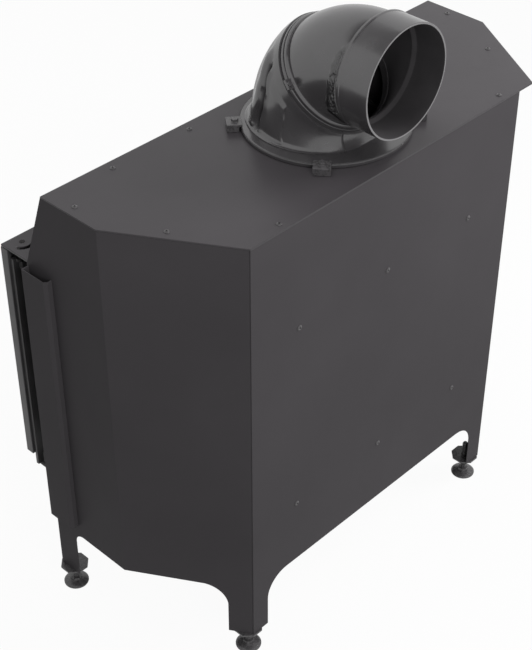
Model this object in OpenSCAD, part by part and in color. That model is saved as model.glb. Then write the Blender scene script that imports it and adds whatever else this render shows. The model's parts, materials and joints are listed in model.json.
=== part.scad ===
// Fireplace insert: a wood fire for building into a chimney breast.
// A folded sheet casing on four levelling feet holds a welded firebox with a glazed
// door, and a two-part turning flue elbow stands on the top plate.
// Millimetres. Z is up from the floor, the door faces -Y.
// Below, "ahead" is a distance in front of the top plate's front edge.

/* [Casing] */
// Width of the top plate
case_w = 980; // [940:5:1040]
// Height of the top plate's upper face above the floor
case_h = 933; // [915:1:960]
// Depth of the top plate
case_d = 346; // [335:1:370]
// Depth of the side before the rear corner is cut off
side_d = 136; // [125:1:145]
// How far in from the right side the back begins, beyond the cut-off corner
corner_in = 128; // [115:1:140]
// How far the left end of the back wall stands in from the plate's corner
back_inset = 39; // [30:1:45]
// Thickness of the casing sheet
sheet = 2; // [1.5:0.5:3]
// Thickness of the top plate
top_t = 3; // [2:0.5:4]
// Height of the panels' lower edge above the floor
panel_z = 169; // [160:1:172]
// How far the side panels stand ahead
side_ahead = 57; // [55:1:60]
// Width of the flanges that the top plate is screwed to
flange_w = 30; // [26:1:34]
// Depth of the cover strip on each side
strip_proud = 15; // [12:1:20]
// Width of the cover strip
strip_w = 62; // [55:1:70]
// Height of the cover strip's lower end above the floor
strip_z = 195; // [185:1:210]

/* [Legs and feet] */
// Height of the legs' lower ends above the floor
leg_z = 51; // [45:1:56]
// Width of the front legs
leg_front_w = 52; // [46:1:58]
// Width of the back panel's legs
leg_back_w = 39; // [36:1:44]
// Width of the legs on the cut-off corners
leg_corner_w = 48; // [44:1:54]
// Radius of the wide arches between the legs
arch_r = 50; // [40:1:60]
// Radius of the arch beside a front leg
arch_front_r = 27; // [20:1:32]
// Diameter of a foot's disc
foot_d = 49; // [44:1:54]
// Diameter of a foot's threaded rod
rod_d = 12; // [10:1:14]
// Width of a foot plate across its flats
foot_plate_w = 52; // [48:1:54]
// Thickness of a foot plate
foot_plate_t = 4; // [3:0.5:6]
// How far the rod stands above its foot plate
rod_above = 33; // [30:1:40]

/* [Front frame and door] */
// How far the front frame and the door stand in from the casing's sides
frame_in = 5; // [2:0.5:15]
// Height of the front frame's top face above the floor
frame_h = 774; // [764:1:784]
// How far the front frame stands ahead
frame_ahead = 134; // [130:1:140]
// Thickness of the frame's top plate and of the lower hinge plate
frame_t = 4; // [3:0.5:6]
// Distance of the hinge pins from the door's edge
hinge_in = 30; // [28:1:33]
// Distance of the hinge pins behind the frame's front edge
hinge_back = 21; // [20:1:22]
// Diameter of the hinge pins
pin_d = 10; // [8:1:11]
// Radius of the curved stop slot
slot_r = 20; // [19:0.5:21]
// Width of the curved stop slot
slot_w = 7; // [6.5:0.5:8]
// Angle that the door swings
door_swing = 95; // [80:1:98]
// Thickness of the door's front
door_t = 18; // [17:0.5:20]
// Height of the door's front
door_h = 472; // [460:1:476]
// Thickness of the door's inner frame
inner_t = 7; // [6:0.5:7]
// How far the inner frame hangs below the door's front
inner_drop = 26; // [20:1:28]
// Width of the door beside its window
window_side = 100; // [98:1:115]
// Height of the door's window
window_h = 350; // [330:5:360]
// Thickness of the glass
glass_t = 4; // [3.5:0.5:4.5]

/* [Firebox] */
// Thickness of the firebox plate
plate = 4; // [3:0.5:5]
// Gap between the firebox and the casing at the back
back_gap = 46; // [42:1:56]
// Thickness of the fire-resistant linings
lining_t = 25; // [20:1:30]
// Height of the linings
lining_h = 409; // [395:1:415]
// Width of the ash opening below the grate
ash_w = 220; // [200:5:230]
// Depth of the ash opening below the grate
ash_d = 120; // [110:5:130]
// Width of the ash drawer's tray
tray_w = 278; // [270:2:282]
// Height of the ash drawer's tray
tray_h = 66; // [56:1:70]
// Outside diameter of the outside-air inlet
inlet_d = 100; // [90:1:100]

/* [Flue elbow] */
// Outside diameter of the flue spigot
flue_d = 200; // [196:1:204]
// Length of the spigot's straight part
spigot_l = 57; // [50:1:65]
// Height of the turning joint's centre above the top plate
joint_h = 109; // [106:1:114]
// Distance of the turning joint's centre behind the plate's middle
joint_back = 22; // [18:1:26]
// Bend radius of the elbow's middle line
bend_r = 112; // [110:1:116]
// Outside radius of the turning joint
joint_r = 107.5; // [106:0.5:109]
// Outside radius of the elbow's base flange
flange_r = 150; // [147:1:153]
// Thickness of the elbow's base flange
flange_t = 8.5; // [7:0.5:10]
// Wall of the cast elbow
cast_t = 5; // [4:0.5:6]
// Radius of the circle that the clamp dogs' bolts stand on
dog_r = 158; // [157:0.5:161]

/* [Fits] */
// Radial clearance of a pin, rod or ring in its hole
fit = 0.05; // [0.02:0.01:0.1]
// Gap between pieces that slide or swing past each other
gap = 0.3; // [0.3:0.05:0.5]

/* [Hidden] */
$fn = 72;
eps = 0.01;
cut = 1;

// Casing, worked out
hw = case_w / 2;
corner_x = hw - corner_in;
under = case_h - top_t;
corner_left = corner_x - back_inset;
screw_r = 2.5;
screw_hole_r = screw_r + fit;
screw_head_r = 5;
screw_head_h = 2.5;
screw_in = 20.6;
screw_l = 12;
return_w = 22;
front_slope_back = 2;
front_slope_ahead = 48;

// Front frame and door, worked out
frame_half = hw - frame_in;
window_half = frame_half - window_side;
frame_under = frame_h - frame_t;
hinge_x = frame_half - hinge_in;
hinge_y = -(frame_ahead - hinge_back);
pin_r = pin_d / 2;
pin_hole_r = pin_r + fit;
door_proud = 2;
door_gap = 2;
door_y = -(frame_ahead + door_proud);
door_back_y = door_y + door_t;
inner_back_y = door_back_y + inner_t;
door_top = frame_under - door_gap;
door_bottom = door_top - door_h;
inner_bottom = door_bottom - inner_drop;
inner_top = door_top - 19;
inner_half = frame_half - 5;
door_skin = 6;
door_rim = 8;
window_z = door_bottom + (door_h - window_h) / 2;
glass_lap = 15;
glass_gasket_t = 2;
glass_y = door_back_y - glass_t;
seal_gap = 6;
seal_w = 16;
stud_r = slot_w / 2 - 0.5;
slot_start = 35;
boss_w = 24;
boss_back = 7;
boss_front = 4;
boss_h = 24;
pin_hold = boss_h - 2;
leaf_t = 6;
leaf_pin_r = pin_r + 4;
leaf_stud_r = slot_w / 2 + 4;
door_screw_z = [30, 150, 325, 455];
door_screw_l = 18;

// Handle and latch, worked out
handle_x = -(frame_half - 27);
handle_z = (inner_top + inner_bottom) / 2 + 22;
spindle_r = 5;
handle_out = 35;
lever_l = 125;
tongue_t = 4;
tongue_w = 16;
tongue_l = 20;
keeper_h = 40;
keeper_t = 4;

// Firebox, worked out
mouth_y = inner_back_y + seal_gap;
shell_y = mouth_y + plate;
box_half = hinge_x - 30;
box_z = inner_bottom - 8;
box_top = frame_under - plate;
box_back_y = case_d - back_gap;
box_corner_x = box_half - 114;
box_side_y = side_d - 26;
mouth_half = window_half;
mouth_z0 = window_z - 37;
mouth_z1 = window_z + window_h + 8;
floor_z = box_z + plate;
brick_t = 25;
brick_w = 180;
hearth_z = floor_z + brick_t;
lining_z1 = hearth_z + lining_h;
lining_front_y = -60;
lining_side_y = box_side_y - 10;
baffle_t = 22;
ash_y0 = 40;
grate_rim = 10;
grate_bar = 9;
ash_box_t = 2;
ash_box_z = box_z - 86;
tray_z = ash_box_z + ash_box_t + gap;
ash_box_half = tray_w / 2 + 3;
ash_box_back_y = 182;
drawer_out = 200;
low_front_y = -side_ahead - sheet;
low_front_top = box_z - frame_t;
air_half = 340;
air_arm_x = ash_box_half + 9;
air_z = box_z - 62;
air_front_y = -50;
air_rear_y = box_back_y - 10;
air_t = 2;
port_y0 = air_front_y + 6;
port_y1 = port_y0 + 10;
inlet_t = 1.5;
inlet_l = 58;
inlet_y = (ash_box_back_y + air_rear_y) / 2;
slide_x = 250;
slide_l = 110;
slide_h = 30;
slide_t = 3;
slide_z = air_z + 27;
slide_travel = 30;
guide_lip = 8;
lever_r = 4;
knob_r = 13;
knob_ahead = 42;

// Feet, worked out
foot_rear_y = case_d - 23;
foot_rear_x = [corner_x - 9, -(corner_left - 16)];
foot_front_x = hw - 14;
foot_front_y = -37;
rod_r = rod_d / 2;
foot_disc_t = 3.5;
foot_hub_h = 14;
foot_hub_r = 11;
foot_nut_h = 9;
foot_nut_r = rod_r + 4.5;

// Elbow, worked out
base_y = case_d / 2 + 1;
joint_c = [0, case_d / 2 + joint_back + 1.5, case_h + joint_h];
bend_c = joint_c + bend_r * sqrt(0.5) * [0, 1, -1];
flue_z = bend_c[2] + bend_r;
spigot_r = flue_d / 2;
spigot_wall = 4;
spigot_y = bend_c[1] + 11;
spigot_end = spigot_y + spigot_l;
neck_r = spigot_r - 6;
collar_r = spigot_r - 3;
collar_wall = 3;
ring_bore = joint_r - 9.5;
ring_t = 9;
lip_l = 7;
lip_wall = 3;
lower_r0 = joint_r + 3;
lower_r1 = joint_r + 6.5;
lower_bow = 3;
foot_ring_r = 120;
foot_ring_y = base_y - 16;
upper_r0 = joint_r - 7;
joint_lug_angles = [8, 172];
dog_angles = [39.5, 140.5, 219.5, 320.5];
dog_bolt_r = 4;
flange_z = case_h + gap;
flange_top = flange_z + flange_t;

// The model's middle in depth, so that it stands centred on its own footprint
rear_y = foot_rear_y + foot_plate_w / 2;
front_y = door_y - handle_out;
mid_y = (rear_y + front_y) / 2;

// Lays a piece out in the final frame: the origin is below the object's middle
module placed() {
    translate([0, -mid_y, 0]) children();
}

// The left half of the object is the right half's mirror image
module for_side(side) {
    if (side > 0) children();
    else mirror([1, 0, 0]) children();
}

// Height-to-plan helpers for the cut-off rear corner of the casing
function cut_depth() = case_d - side_d;
function cut_len(corner) = norm([hw - corner, cut_depth()]);
function cut_angle(corner) = atan2(cut_depth(), -(hw - corner));
function cut_x(corner, y, inset) =
    hw - (hw - corner) * (y - side_d) / cut_depth() - inset * cut_len(corner) / cut_depth();
function fold_y(corner, inset) =
    side_d - inset * (cut_len(corner) - cut_depth()) / (hw - corner);
function cut_point(corner, s, t) = [hw, side_d]
    + s * [corner - hw, cut_depth()] / cut_len(corner)
    - t * [cut_depth(), hw - corner] / cut_len(corner);

// Local frame on the cut-off corner: X runs to the rear, Y points inwards
module on_cut(corner) {
    translate([hw, side_d, 0]) rotate(cut_angle(corner)) children();
}

// Local frame on the sloped front: Y runs up the slope, Z points outwards
slope_lean = atan2(front_slope_ahead + front_slope_back, under - frame_h);
slope_len = norm([front_slope_ahead + front_slope_back, under - frame_h]);
module on_slope() {
    translate([0, -front_slope_ahead, frame_h]) rotate([90 - slope_lean, 0, 0]) children();
}

// Flat-topped opening with rounded upper corners, in its own X and Y
function arc_points(middle, r, a0, a1) =
    [for (k = [0:12]) let (a = a0 + (a1 - a0) * k / 12) middle + r * [cos(a), sin(a)]];
module arch_shape(w, h, r) {
    polygon(concat([[0, 0], [w, 0]], arc_points([w - r, h - r], r, 0, 90),
        arc_points([r, h - r], r, 90, 180)));
}

// A block given by its two opposite corners
module block(a, b) {
    translate(a) cube(b - a);
}

// A rod or disc along Y
module rod_y(r, y0, y1) {
    translate([0, y0, 0]) rotate([-90, 0, 0]) cylinder(r = r, h = y1 - y0);
}

// Plan outline of the firebox, drawn in by the given distance
box_cut = norm([box_half - box_corner_x, box_back_y - box_side_y]);
function box_fold_y(inset) =
    box_side_y - inset * (box_cut - (box_back_y - box_side_y)) / (box_half - box_corner_x);
function box_rear_x(inset) =
    box_corner_x - inset * (box_cut - (box_half - box_corner_x)) / (box_back_y - box_side_y);
function box_half_plan(inset, front) = [
    [box_half - inset, front],
    [box_half - inset, box_fold_y(inset)],
    [box_rear_x(inset), box_back_y - inset]];
function flip_x(points) = [for (i = [len(points) - 1:-1:0]) [-points[i][0], points[i][1]]];
function box_plan(inset, front) = concat(box_half_plan(inset, front),
    flip_x(box_half_plan(inset, front)));

// Local frame on the firebox's cut-off corner
module on_box_cut() {
    translate([box_half, box_side_y, 0])
        rotate(atan2(box_back_y - box_side_y, box_corner_x - box_half)) children();
}

// Screw places in plan: front row, sides, cut-off corners and rear
cut_screw_s = 109;
cut_screw_in = 18.4;
side_screw = [hw - 19, 64];
rear_screw = [corner_left - 41, case_d - 15.7];
front_screws = [for (x = [-353, -179, 179, 353]) [x, screw_in]];

module at_front_screws() {
    for (p = front_screws) translate([p[0], p[1], 0]) children();
}

module at_side_screws(corner) {
    translate([side_screw[0], side_screw[1], 0]) children();
    on_cut(corner) translate([cut_screw_s, cut_screw_in, 0]) children();
}

module at_rear_screws() {
    for (x = [-rear_screw[0], rear_screw[0]]) translate([x, rear_screw[1], 0]) children();
}

module at_top_screws() {
    at_front_screws() children();
    at_rear_screws() children();
    at_side_screws(corner_x) children();
    mirror([1, 0, 0]) at_side_screws(corner_left) children();
}

// Back screws: three columns in two rows, each column in one rear spacer
back_screw_step = 225;
back_screw_low = 146;
back_screw_high = 211;
back_screw_x = [for (i = [-1:1]) (corner_x - corner_left) * 0.6 + back_screw_step * i];
back_screw_z = [panel_z + back_screw_low, under - back_screw_high];

module at_back_screws() {
    for (x = back_screw_x, z = back_screw_z) translate([x, case_d, z]) children();
}

module at_dogs() {
    for (a = dog_angles) translate([0, base_y, 0]) rotate(a) translate([dog_r, 0, 0]) children();
}

module top_plate() {
    color("#5a595b") placed() difference() {
        translate([0, 0, under]) linear_extrude(top_t) polygon([[-hw, 0], [hw, 0],
            [hw, side_d], [corner_x, case_d], [-corner_x, case_d], [-hw, side_d]]);
        translate([0, base_y, under - cut]) cylinder(r = collar_r + cut, h = top_t + 2 * cut);
        translate([0, 0, under - cut]) at_top_screws()
            cylinder(r = screw_hole_r, h = top_t + 2 * cut);
        translate([0, 0, under - cut]) at_dogs()
            cylinder(r = dog_bolt_r + fit, h = top_t + 2 * cut);
    }
}

module back_panel() {
    w = corner_x + corner_left;
    color("#504e51") placed() difference() {
        union() {
            block([-corner_left, case_d - sheet, leg_z], [corner_x, case_d, under]);
            block([-corner_left + 30, case_d - sheet - flange_w, under - sheet],
                [corner_x - 30, case_d - sheet, under]);
        }
        translate([-corner_left + leg_back_w, case_d + cut, leg_z - cut]) rotate([90, 0, 0])
            linear_extrude(sheet + 2 * cut)
            arch_shape(w - 2 * leg_back_w, panel_z - leg_z + cut, arch_r);
        at_back_screws() rod_y(screw_hole_r, -sheet - cut, cut);
        translate([0, 0, under - sheet - cut]) at_rear_screws()
            cylinder(r = screw_hole_r, h = sheet + 2 * cut);
    }
}

// Side and cut-off corner folded from one sheet, with a return along the front edge
module side_sheet(corner) {
    rear = case_d - sheet;
    translate([0, 0, leg_z]) linear_extrude(under - leg_z) polygon([
        [hw, -side_ahead], [hw, side_d],
        [cut_x(corner, rear, 0), rear], [cut_x(corner, rear, sheet), rear],
        [hw - sheet, fold_y(corner, sheet)], [hw - sheet, -side_ahead]]);
    block([hw - return_w, -side_ahead, leg_z], [hw - sheet + eps, -side_ahead + sheet, frame_under]);
    block([hw - sheet - flange_w, screw_in + flange_w / 2 + 4, under - sheet],
        [hw - sheet + eps, side_d - 12, under]);
    on_cut(corner) block([20, sheet - eps, under - sheet],
        [cut_len(corner) - 40, sheet + flange_w, under]);
}

// Rounded corner that an arch leaves beside a leg, in its own X and Y
module arch_corner(r) {
    polygon(concat([[-cut, 0], [-cut, r + cut], [r, r + cut]],
        arc_points([r, 0], r + gap, 90, 180)));
}

// One cut for the whole gap between the front and the rear leg, round the fold
module side_arch(corner) {
    start_y = -side_ahead + leg_front_w;
    end_s = cut_len(corner) - leg_corner_w;
    wide = 3 * sheet;
    difference() {
        translate([0, 0, leg_z - cut]) linear_extrude(panel_z - leg_z + cut) polygon([
            [hw + cut, start_y], [hw + cut, fold_y(corner, -cut)],
            cut_point(corner, end_s, -cut), cut_point(corner, end_s, sheet + cut),
            [hw - sheet - cut, fold_y(corner, sheet + cut)], [hw - sheet - cut, start_y]]);
        translate([hw - wide, start_y, panel_z - arch_front_r]) rotate([90, 0, 90])
            linear_extrude(2 * wide) arch_corner(arch_front_r);
        on_cut(corner) translate([end_s, wide, panel_z - arch_r]) rotate([90, 0, 0])
            linear_extrude(2 * wide) mirror([1, 0]) arch_corner(arch_r);
    }
}

module side_panel(side, corner) {
    for_side(side) difference() {
        side_sheet(corner);
        side_arch(corner);
        translate([hw - 2 * return_w, 0, 0]) rotate([90, 0, 90]) linear_extrude(3 * return_w)
            polygon([[-side_ahead - cut, frame_h], [-side_ahead, frame_h], [0, under],
                [0, under + cut], [-side_ahead - cut, under + cut]]);
        translate([0, 0, under - sheet - cut]) at_side_screws(corner)
            cylinder(r = screw_hole_r, h = sheet + 2 * cut);
    }
}

module side_panel_left() {
    color("#3a383a") placed() side_panel(-1, corner_left);
}

module side_panel_right() {
    color("#3a383a") placed() side_panel(1, corner_x);
}

// Channel along the front of the side panel, closed by a short tab at its foot
module cover_strip(side) {
    y0 = -side_ahead + 3;
    y1 = y0 + strip_w;
    z1 = frame_h - 3;
    for_side(side) {
        translate([0, 0, strip_z]) linear_extrude(z1 - strip_z) polygon([
            [hw, y0], [hw + strip_proud, y0], [hw + strip_proud, y1 - 6],
            [hw + strip_proud - 6, y1], [hw, y1], [hw, y1 - sheet],
            [hw + strip_proud - 7, y1 - sheet], [hw + strip_proud - sheet, y1 - 7],
            [hw + strip_proud - sheet, y0 + sheet], [hw, y0 + sheet]]);
        block([hw, y0 + sheet, strip_z], [hw + strip_proud - sheet, y1 - 8, strip_z + sheet]);
    }
}

module cover_strip_left() {
    color("#403e40") placed() cover_strip(-1);
}

module cover_strip_right() {
    color("#403e40") placed() cover_strip(1);
}

// Sloped front above the frame, with the hot-air window and a flange under the top plate
grille_half = 380;
grille_y0 = 40;
grille_y1 = 116;
grille_lap = 10;

module upper_front_panel() {
    half = hw - sheet - cut;
    thick = sheet / cos(slope_lean);
    color("#403e40") placed() difference() {
        union() {
            translate([-half, 0, 0]) rotate([90, 0, 90]) linear_extrude(2 * half) polygon([
                [-front_slope_ahead, frame_h], [front_slope_back, under],
                [front_slope_back + thick, under], [-front_slope_ahead + thick, frame_h]]);
            block([-half + return_w, front_slope_back + thick - sheet / 2, under - sheet],
                [half - return_w, screw_in + flange_w / 2, under]);
        }
        on_slope() block([-grille_half, grille_y0, -2 * sheet], [grille_half, grille_y1, cut]);
        translate([0, 0, under - sheet - cut]) at_front_screws()
            cylinder(r = screw_hole_r, h = sheet + 2 * cut);
    }
}

// Grille over the hot-air window: a thin border, five slats and three uprights
slat_count = 5;
slat_tilt = 35;

module hot_air_grille() {
    pitch = (grille_y1 - grille_y0) / slat_count;
    color("#4a484a") placed() on_slope() {
        difference() {
            block([-grille_half - grille_lap, grille_y0 - grille_lap, 0],
                [grille_half + grille_lap, grille_y1 + grille_lap, 3]);
            block([-grille_half, grille_y0, -cut], [grille_half, grille_y1, 4]);
        }
        for (i = [0:slat_count - 1]) translate([0, grille_y0 + pitch * (i + 0.5), 1.5])
            rotate([slat_tilt, 0, 0]) block([-grille_half, -5, -1], [grille_half, 5, 1]);
        for (x = [-grille_half / 2, 0, grille_half / 2])
            block([x - 3, grille_y0, 0], [x + 3, grille_y1, 3]);
    }
}

// Panel below the door, with the drawer's opening and a slot for each air lever
module lower_front_panel() {
    half = hw - sheet;
    color("#403e40") placed() difference() {
        block([-half, low_front_y, panel_z], [half, -side_ahead, low_front_top]);
        block([-ash_box_half + ash_box_t, low_front_y - cut, ash_box_z + ash_box_t],
            [ash_box_half - ash_box_t, -side_ahead + cut, low_front_top - 4]);
        for (x = [-slide_x, slide_x]) translate([x, -side_ahead + cut, slide_z])
            rotate([90, 0, 0]) linear_extrude(sheet + 2 * cut)
            block_slot(slide_travel + 1, lever_r + 1);
    }
}

// Slot with round ends, centred, in its own X and Y
module block_slot(half, r) {
    union() {
        translate([-half, -r]) square([2 * half, 2 * r]);
        translate([-half, 0]) circle(r);
        translate([half, 0]) circle(r);
    }
}

// Screw with a shallow domed head, standing on z = 0
module pan_screw(l) {
    rotate_extrude() polygon(concat([[0, -l], [screw_r, -l], [screw_r, 0], [screw_head_r, 0]],
        [for (a = [30:20:90]) [screw_head_r * cos(a - 10), screw_head_h * sin(a)]],
        [[0, screw_head_h]]));
}

module top_screws() {
    color("#2c2b2c") placed() translate([0, 0, case_h]) at_top_screws() pan_screw(screw_l);
}

module back_screws() {
    color("#2c2b2c") placed() at_back_screws() rotate([-90, 0, 0]) pan_screw(screw_l);
}

// Foot: disc, hub and threaded rod, which slides in the foot plate's nut
foot_places = [[-foot_front_x, foot_front_y], [foot_front_x, foot_front_y],
    [foot_rear_x[1], foot_rear_y], [foot_rear_x[0], foot_rear_y]];

module foot(i) {
    p = foot_places[i];
    rod_top = leg_z + rod_above;
    color("#b9b9b7") placed() translate([p[0], p[1], 0]) rotate_extrude() polygon([
        [0, 0], [foot_d / 2, 0], [foot_d / 2, foot_disc_t], [foot_d / 2 - 5, foot_disc_t + 3],
        [foot_hub_r, foot_disc_t + 5], [foot_hub_r - 1.5, foot_hub_h], [rod_r, foot_hub_h],
        [rod_r, rod_top - 1], [rod_r - 1, rod_top], [0, rod_top]]);
}

module foot_front_left() {
    foot(0);
}

module foot_front_right() {
    foot(1);
}

module foot_rear_left() {
    foot(2);
}

module foot_rear_right() {
    foot(3);
}

// Octagonal plates under the legs, each with a weld nut below it
module foot_plates() {
    color("#a8a8a6") placed() for (p = foot_places) translate([p[0], p[1], 0]) difference() {
        union() {
            translate([0, 0, leg_z - foot_plate_t]) rotate(22.5)
                cylinder(r = foot_plate_w / 2 / cos(22.5), h = foot_plate_t, $fn = 8);
            translate([0, 0, leg_z - foot_plate_t - foot_nut_h])
                cylinder(r = foot_nut_r, h = foot_nut_h, $fn = 6);
        }
        translate([0, 0, leg_z - foot_plate_t - foot_nut_h - cut])
            cylinder(r = rod_r + fit, h = foot_plate_t + foot_nut_h + 2 * cut);
    }
}

// Channels that hold the firebox off the back panel, one behind each column of screws
module rear_spacers() {
    half = 20;
    z0 = back_screw_z[0] - 25;
    z1 = back_screw_z[1] + 26;
    color("#3a383a") placed() for (x = back_screw_x) difference() {
        translate([x, 0, z0]) linear_extrude(z1 - z0) polygon([
            [-half, box_back_y], [-half, case_d - sheet], [half, case_d - sheet],
            [half, box_back_y], [half - sheet, box_back_y],
            [half - sheet, case_d - 2 * sheet], [-half + sheet, case_d - 2 * sheet],
            [-half + sheet, box_back_y]]);
        for (z = back_screw_z) translate([x, case_d, z]) rod_y(screw_hole_r, -3 * sheet, cut);
    }
}

// Curved slot around the hinge, as an upright solid
module stop_slot(h) {
    rotate(slot_start) rotate_extrude(angle = door_swing)
        translate([slot_r - slot_w / 2, 0]) square([slot_w, h]);
    for (a = [slot_start, slot_start + door_swing])
        rotate(a) translate([slot_r, 0, 0]) cylinder(r = slot_w / 2 - fit, h = h);
}

module frame_top_plate() {
    color("#4c4a4c") placed() difference() {
        block([-frame_half, -frame_ahead, frame_under],
            [frame_half, -front_slope_ahead + 4, frame_h]);
        translate([hinge_x, hinge_y, frame_under - cut]) {
            cylinder(r = pin_hole_r, h = frame_t + 2 * cut);
            stop_slot(frame_t + 2 * cut);
        }
    }
}

// Flat frame at the firebox's mouth, which the door's rope seal closes on
module sealing_frame() {
    color("#302f30") placed() difference() {
        block([-box_half, mouth_y, box_z], [box_half, shell_y, frame_under]);
        block([-mouth_half, mouth_y - cut, mouth_z0], [mouth_half, shell_y + cut, mouth_z1]);
    }
}

module lower_hinge_plate() {
    color("#4c4a4c") placed() difference() {
        block([box_half - 20, hinge_y - 12, box_z - 2 * frame_t],
            [hinge_x + 12, shell_y + 26, box_z]);
        translate([hinge_x, hinge_y, box_z - 2 * frame_t - cut])
            cylinder(r = pin_hole_r, h = 2 * frame_t + 2 * cut);
    }
}

module firebox_body() {
    color("#302f30") placed() translate([0, 0, floor_z])
        linear_extrude(box_top - floor_z) difference() {
            polygon(box_plan(0, shell_y));
            polygon(box_plan(plate, shell_y - cut));
        }
}

// Floor with the ash opening and a port over each arm of the air box
module firebox_floor() {
    color("#302f30") placed() difference() {
        translate([0, 0, box_z]) linear_extrude(plate) polygon(box_plan(0, shell_y));
        block([-ash_w / 2, ash_y0, box_z - cut], [ash_w / 2, ash_y0 + ash_d, floor_z + cut]);
        for (side = [-1, 1]) for_side(side)
            block([slide_x - 50, port_y0, box_z - cut], [slide_x + 50, port_y1, floor_z + cut]);
    }
}

module firebox_top() {
    color("#302f30") placed() difference() {
        translate([0, 0, box_top]) linear_extrude(plate) polygon(box_plan(0, shell_y));
        translate([0, base_y, box_top - cut])
            cylinder(r = collar_r - collar_wall, h = plate + 2 * cut);
    }
}

// Collar from the firebox up through the top plate, which the elbow turns on
module flue_collar() {
    z0 = box_top + plate;
    z1 = flange_top - 1;
    color("#302f30") placed() translate([0, base_y, 0]) rotate_extrude() polygon([
        [collar_r - collar_wall, z0], [collar_r + 18, z0], [collar_r + 18, z0 + 4],
        [collar_r, z0 + 4], [collar_r, z1], [collar_r - collar_wall, z1]]);
}

module side_linings() {
    inner = box_half - plate - gap;
    color("#b8a88c") placed() for (side = [-1, 1]) for_side(side)
        block([inner - lining_t, lining_front_y, hearth_z], [inner, lining_side_y, lining_z1]);
}

module corner_linings() {
    color("#b8a88c") placed() for (side = [-1, 1]) for_side(side) on_box_cut()
        block([12, plate + gap, hearth_z], [box_cut - 12, plate + gap + lining_t, lining_z1]);
}

module lining_back() {
    half = box_corner_x - lining_t - 8;
    rear = box_back_y - plate - gap;
    color("#b8a88c") placed() block([-half, rear - lining_t, hearth_z], [half, rear, lining_z1]);
}

// Bricks on the firebox floor, laid round the grate with narrow joints
module hearth_bricks() {
    side = grate_half_w() + 1;
    y0 = lining_front_y - 15;
    y1 = box_back_y - plate - 1;
    color("#a8937a") placed() difference() {
        translate([0, 0, floor_z]) linear_extrude(brick_t) intersection() {
            polygon(box_plan(plate + 1, y0));
            union() {
                for (s = [-1, 1]) for_side(s) {
                    translate([side, y0]) square([brick_w, y1 - y0]);
                    translate([side + brick_w + 1, y0]) square([box_half, y1 - y0]);
                }
                translate([-side + 1, y0]) square([2 * side - 2, grate_y0() - 1 - y0]);
                translate([-side + 1, grate_y1() + 1]) square([2 * side - 2, y1 - grate_y1() - 1]);
            }
        }
        for (s = [-1, 1]) for_side(s) block([slide_x - 52, port_y0 - 1, floor_z - cut],
            [slide_x + 52, port_y1 + 1, hearth_z + cut]);
    }
}

function grate_half_w() = ash_w / 2 + grate_rim + 9;
function grate_y0() = ash_y0 - grate_rim;
function grate_y1() = ash_y0 + ash_d + grate_rim;

// Cast grate: a rim that stands on the floor round the ash opening, and a slotted top
module grate() {
    half = grate_half_w();
    y0 = grate_y0();
    y1 = grate_y1();
    count = floor(ash_w / (2 * grate_bar));
    color("#3c3a38") placed() difference() {
        block([-half, y0, floor_z], [half, y1, hearth_z]);
        block([-ash_w / 2, ash_y0, floor_z - cut],
            [ash_w / 2, ash_y0 + ash_d, hearth_z - 12]);
        for (i = [0:count - 1])
            translate([(i - (count - 1) / 2) * 2 * grate_bar, ash_y0 + 8, floor_z])
            block([-grate_bar / 2, 0, 0], [grate_bar / 2, ash_d - 16, brick_t + cut]);
    }
}

// Upright guard that keeps the logs off the glass, standing on the hearth
module log_guard() {
    half = mouth_half - 5;
    y1 = lining_front_y - gap;
    color("#3c3a38") placed() difference() {
        block([-half, y1 - 6, hearth_z], [half, y1, hearth_z + 45]);
        for (i = [-5:5]) translate([i * 65, 0, 0])
            block([-20, y1 - 7, hearth_z + 12], [20, y1 + cut, hearth_z + 30]);
    }
}

// Baffle on top of the linings: the smoke goes round its front edge
module lower_baffle() {
    color("#b8a88c") placed() translate([0, 0, lining_z1]) linear_extrude(baffle_t)
        polygon(box_plan(plate + 2, -5));
}

// Steel deflector hung under the flue outlet by two folded ends
deflector_beyond = 163;
deflector_ahead = 134;
deflector_behind = 61;
deflector_below = 24;
deflector_t = 3;

module upper_baffle() {
    half = collar_r + deflector_beyond;
    y0 = base_y - deflector_ahead;
    y1 = base_y + deflector_behind;
    z0 = box_top - deflector_below;
    color("#302f30") placed() {
        block([-half, y0, z0], [half, y1, z0 + deflector_t]);
        for (side = [-1, 1]) for_side(side)
            block([half - deflector_t, y0, z0 + deflector_t], [half, y1, box_top]);
    }
}

// Folded duct over the mouth that sends air down the glass
module air_wash_duct() {
    half = mouth_half + 15;
    z0 = mouth_z1 + 8;
    color("#302f30") placed() translate([-half, 0, 0]) rotate([90, 0, 90])
        linear_extrude(2 * half) polygon([[shell_y + 6, z0], [lining_front_y - 6, z0],
            [lining_front_y - 6, box_top], [lining_front_y - 8, box_top],
            [lining_front_y - 8, z0 + 2], [shell_y + 6, z0 + 2]]);
}

// Trough below the ash opening that the drawer runs in
module ash_box() {
    color("#302f30") placed() difference() {
        block([-ash_box_half, -side_ahead, ash_box_z], [ash_box_half, ash_box_back_y, box_z]);
        block([-ash_box_half + ash_box_t, -side_ahead - cut, ash_box_z + ash_box_t],
            [ash_box_half - ash_box_t, ash_box_back_y - ash_box_t, box_z + cut]);
    }
}

// Plan of the air box: it goes round the ash box on three sides
module air_plan(inset) {
    difference() {
        translate([-air_half + inset, air_front_y + inset])
            square([2 * (air_half - inset), air_rear_y - air_front_y - 2 * inset]);
        translate([-air_arm_x - inset, air_front_y - cut])
            square([2 * (air_arm_x + inset), ash_box_back_y + 4 + inset - air_front_y + cut]);
    }
}

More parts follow.
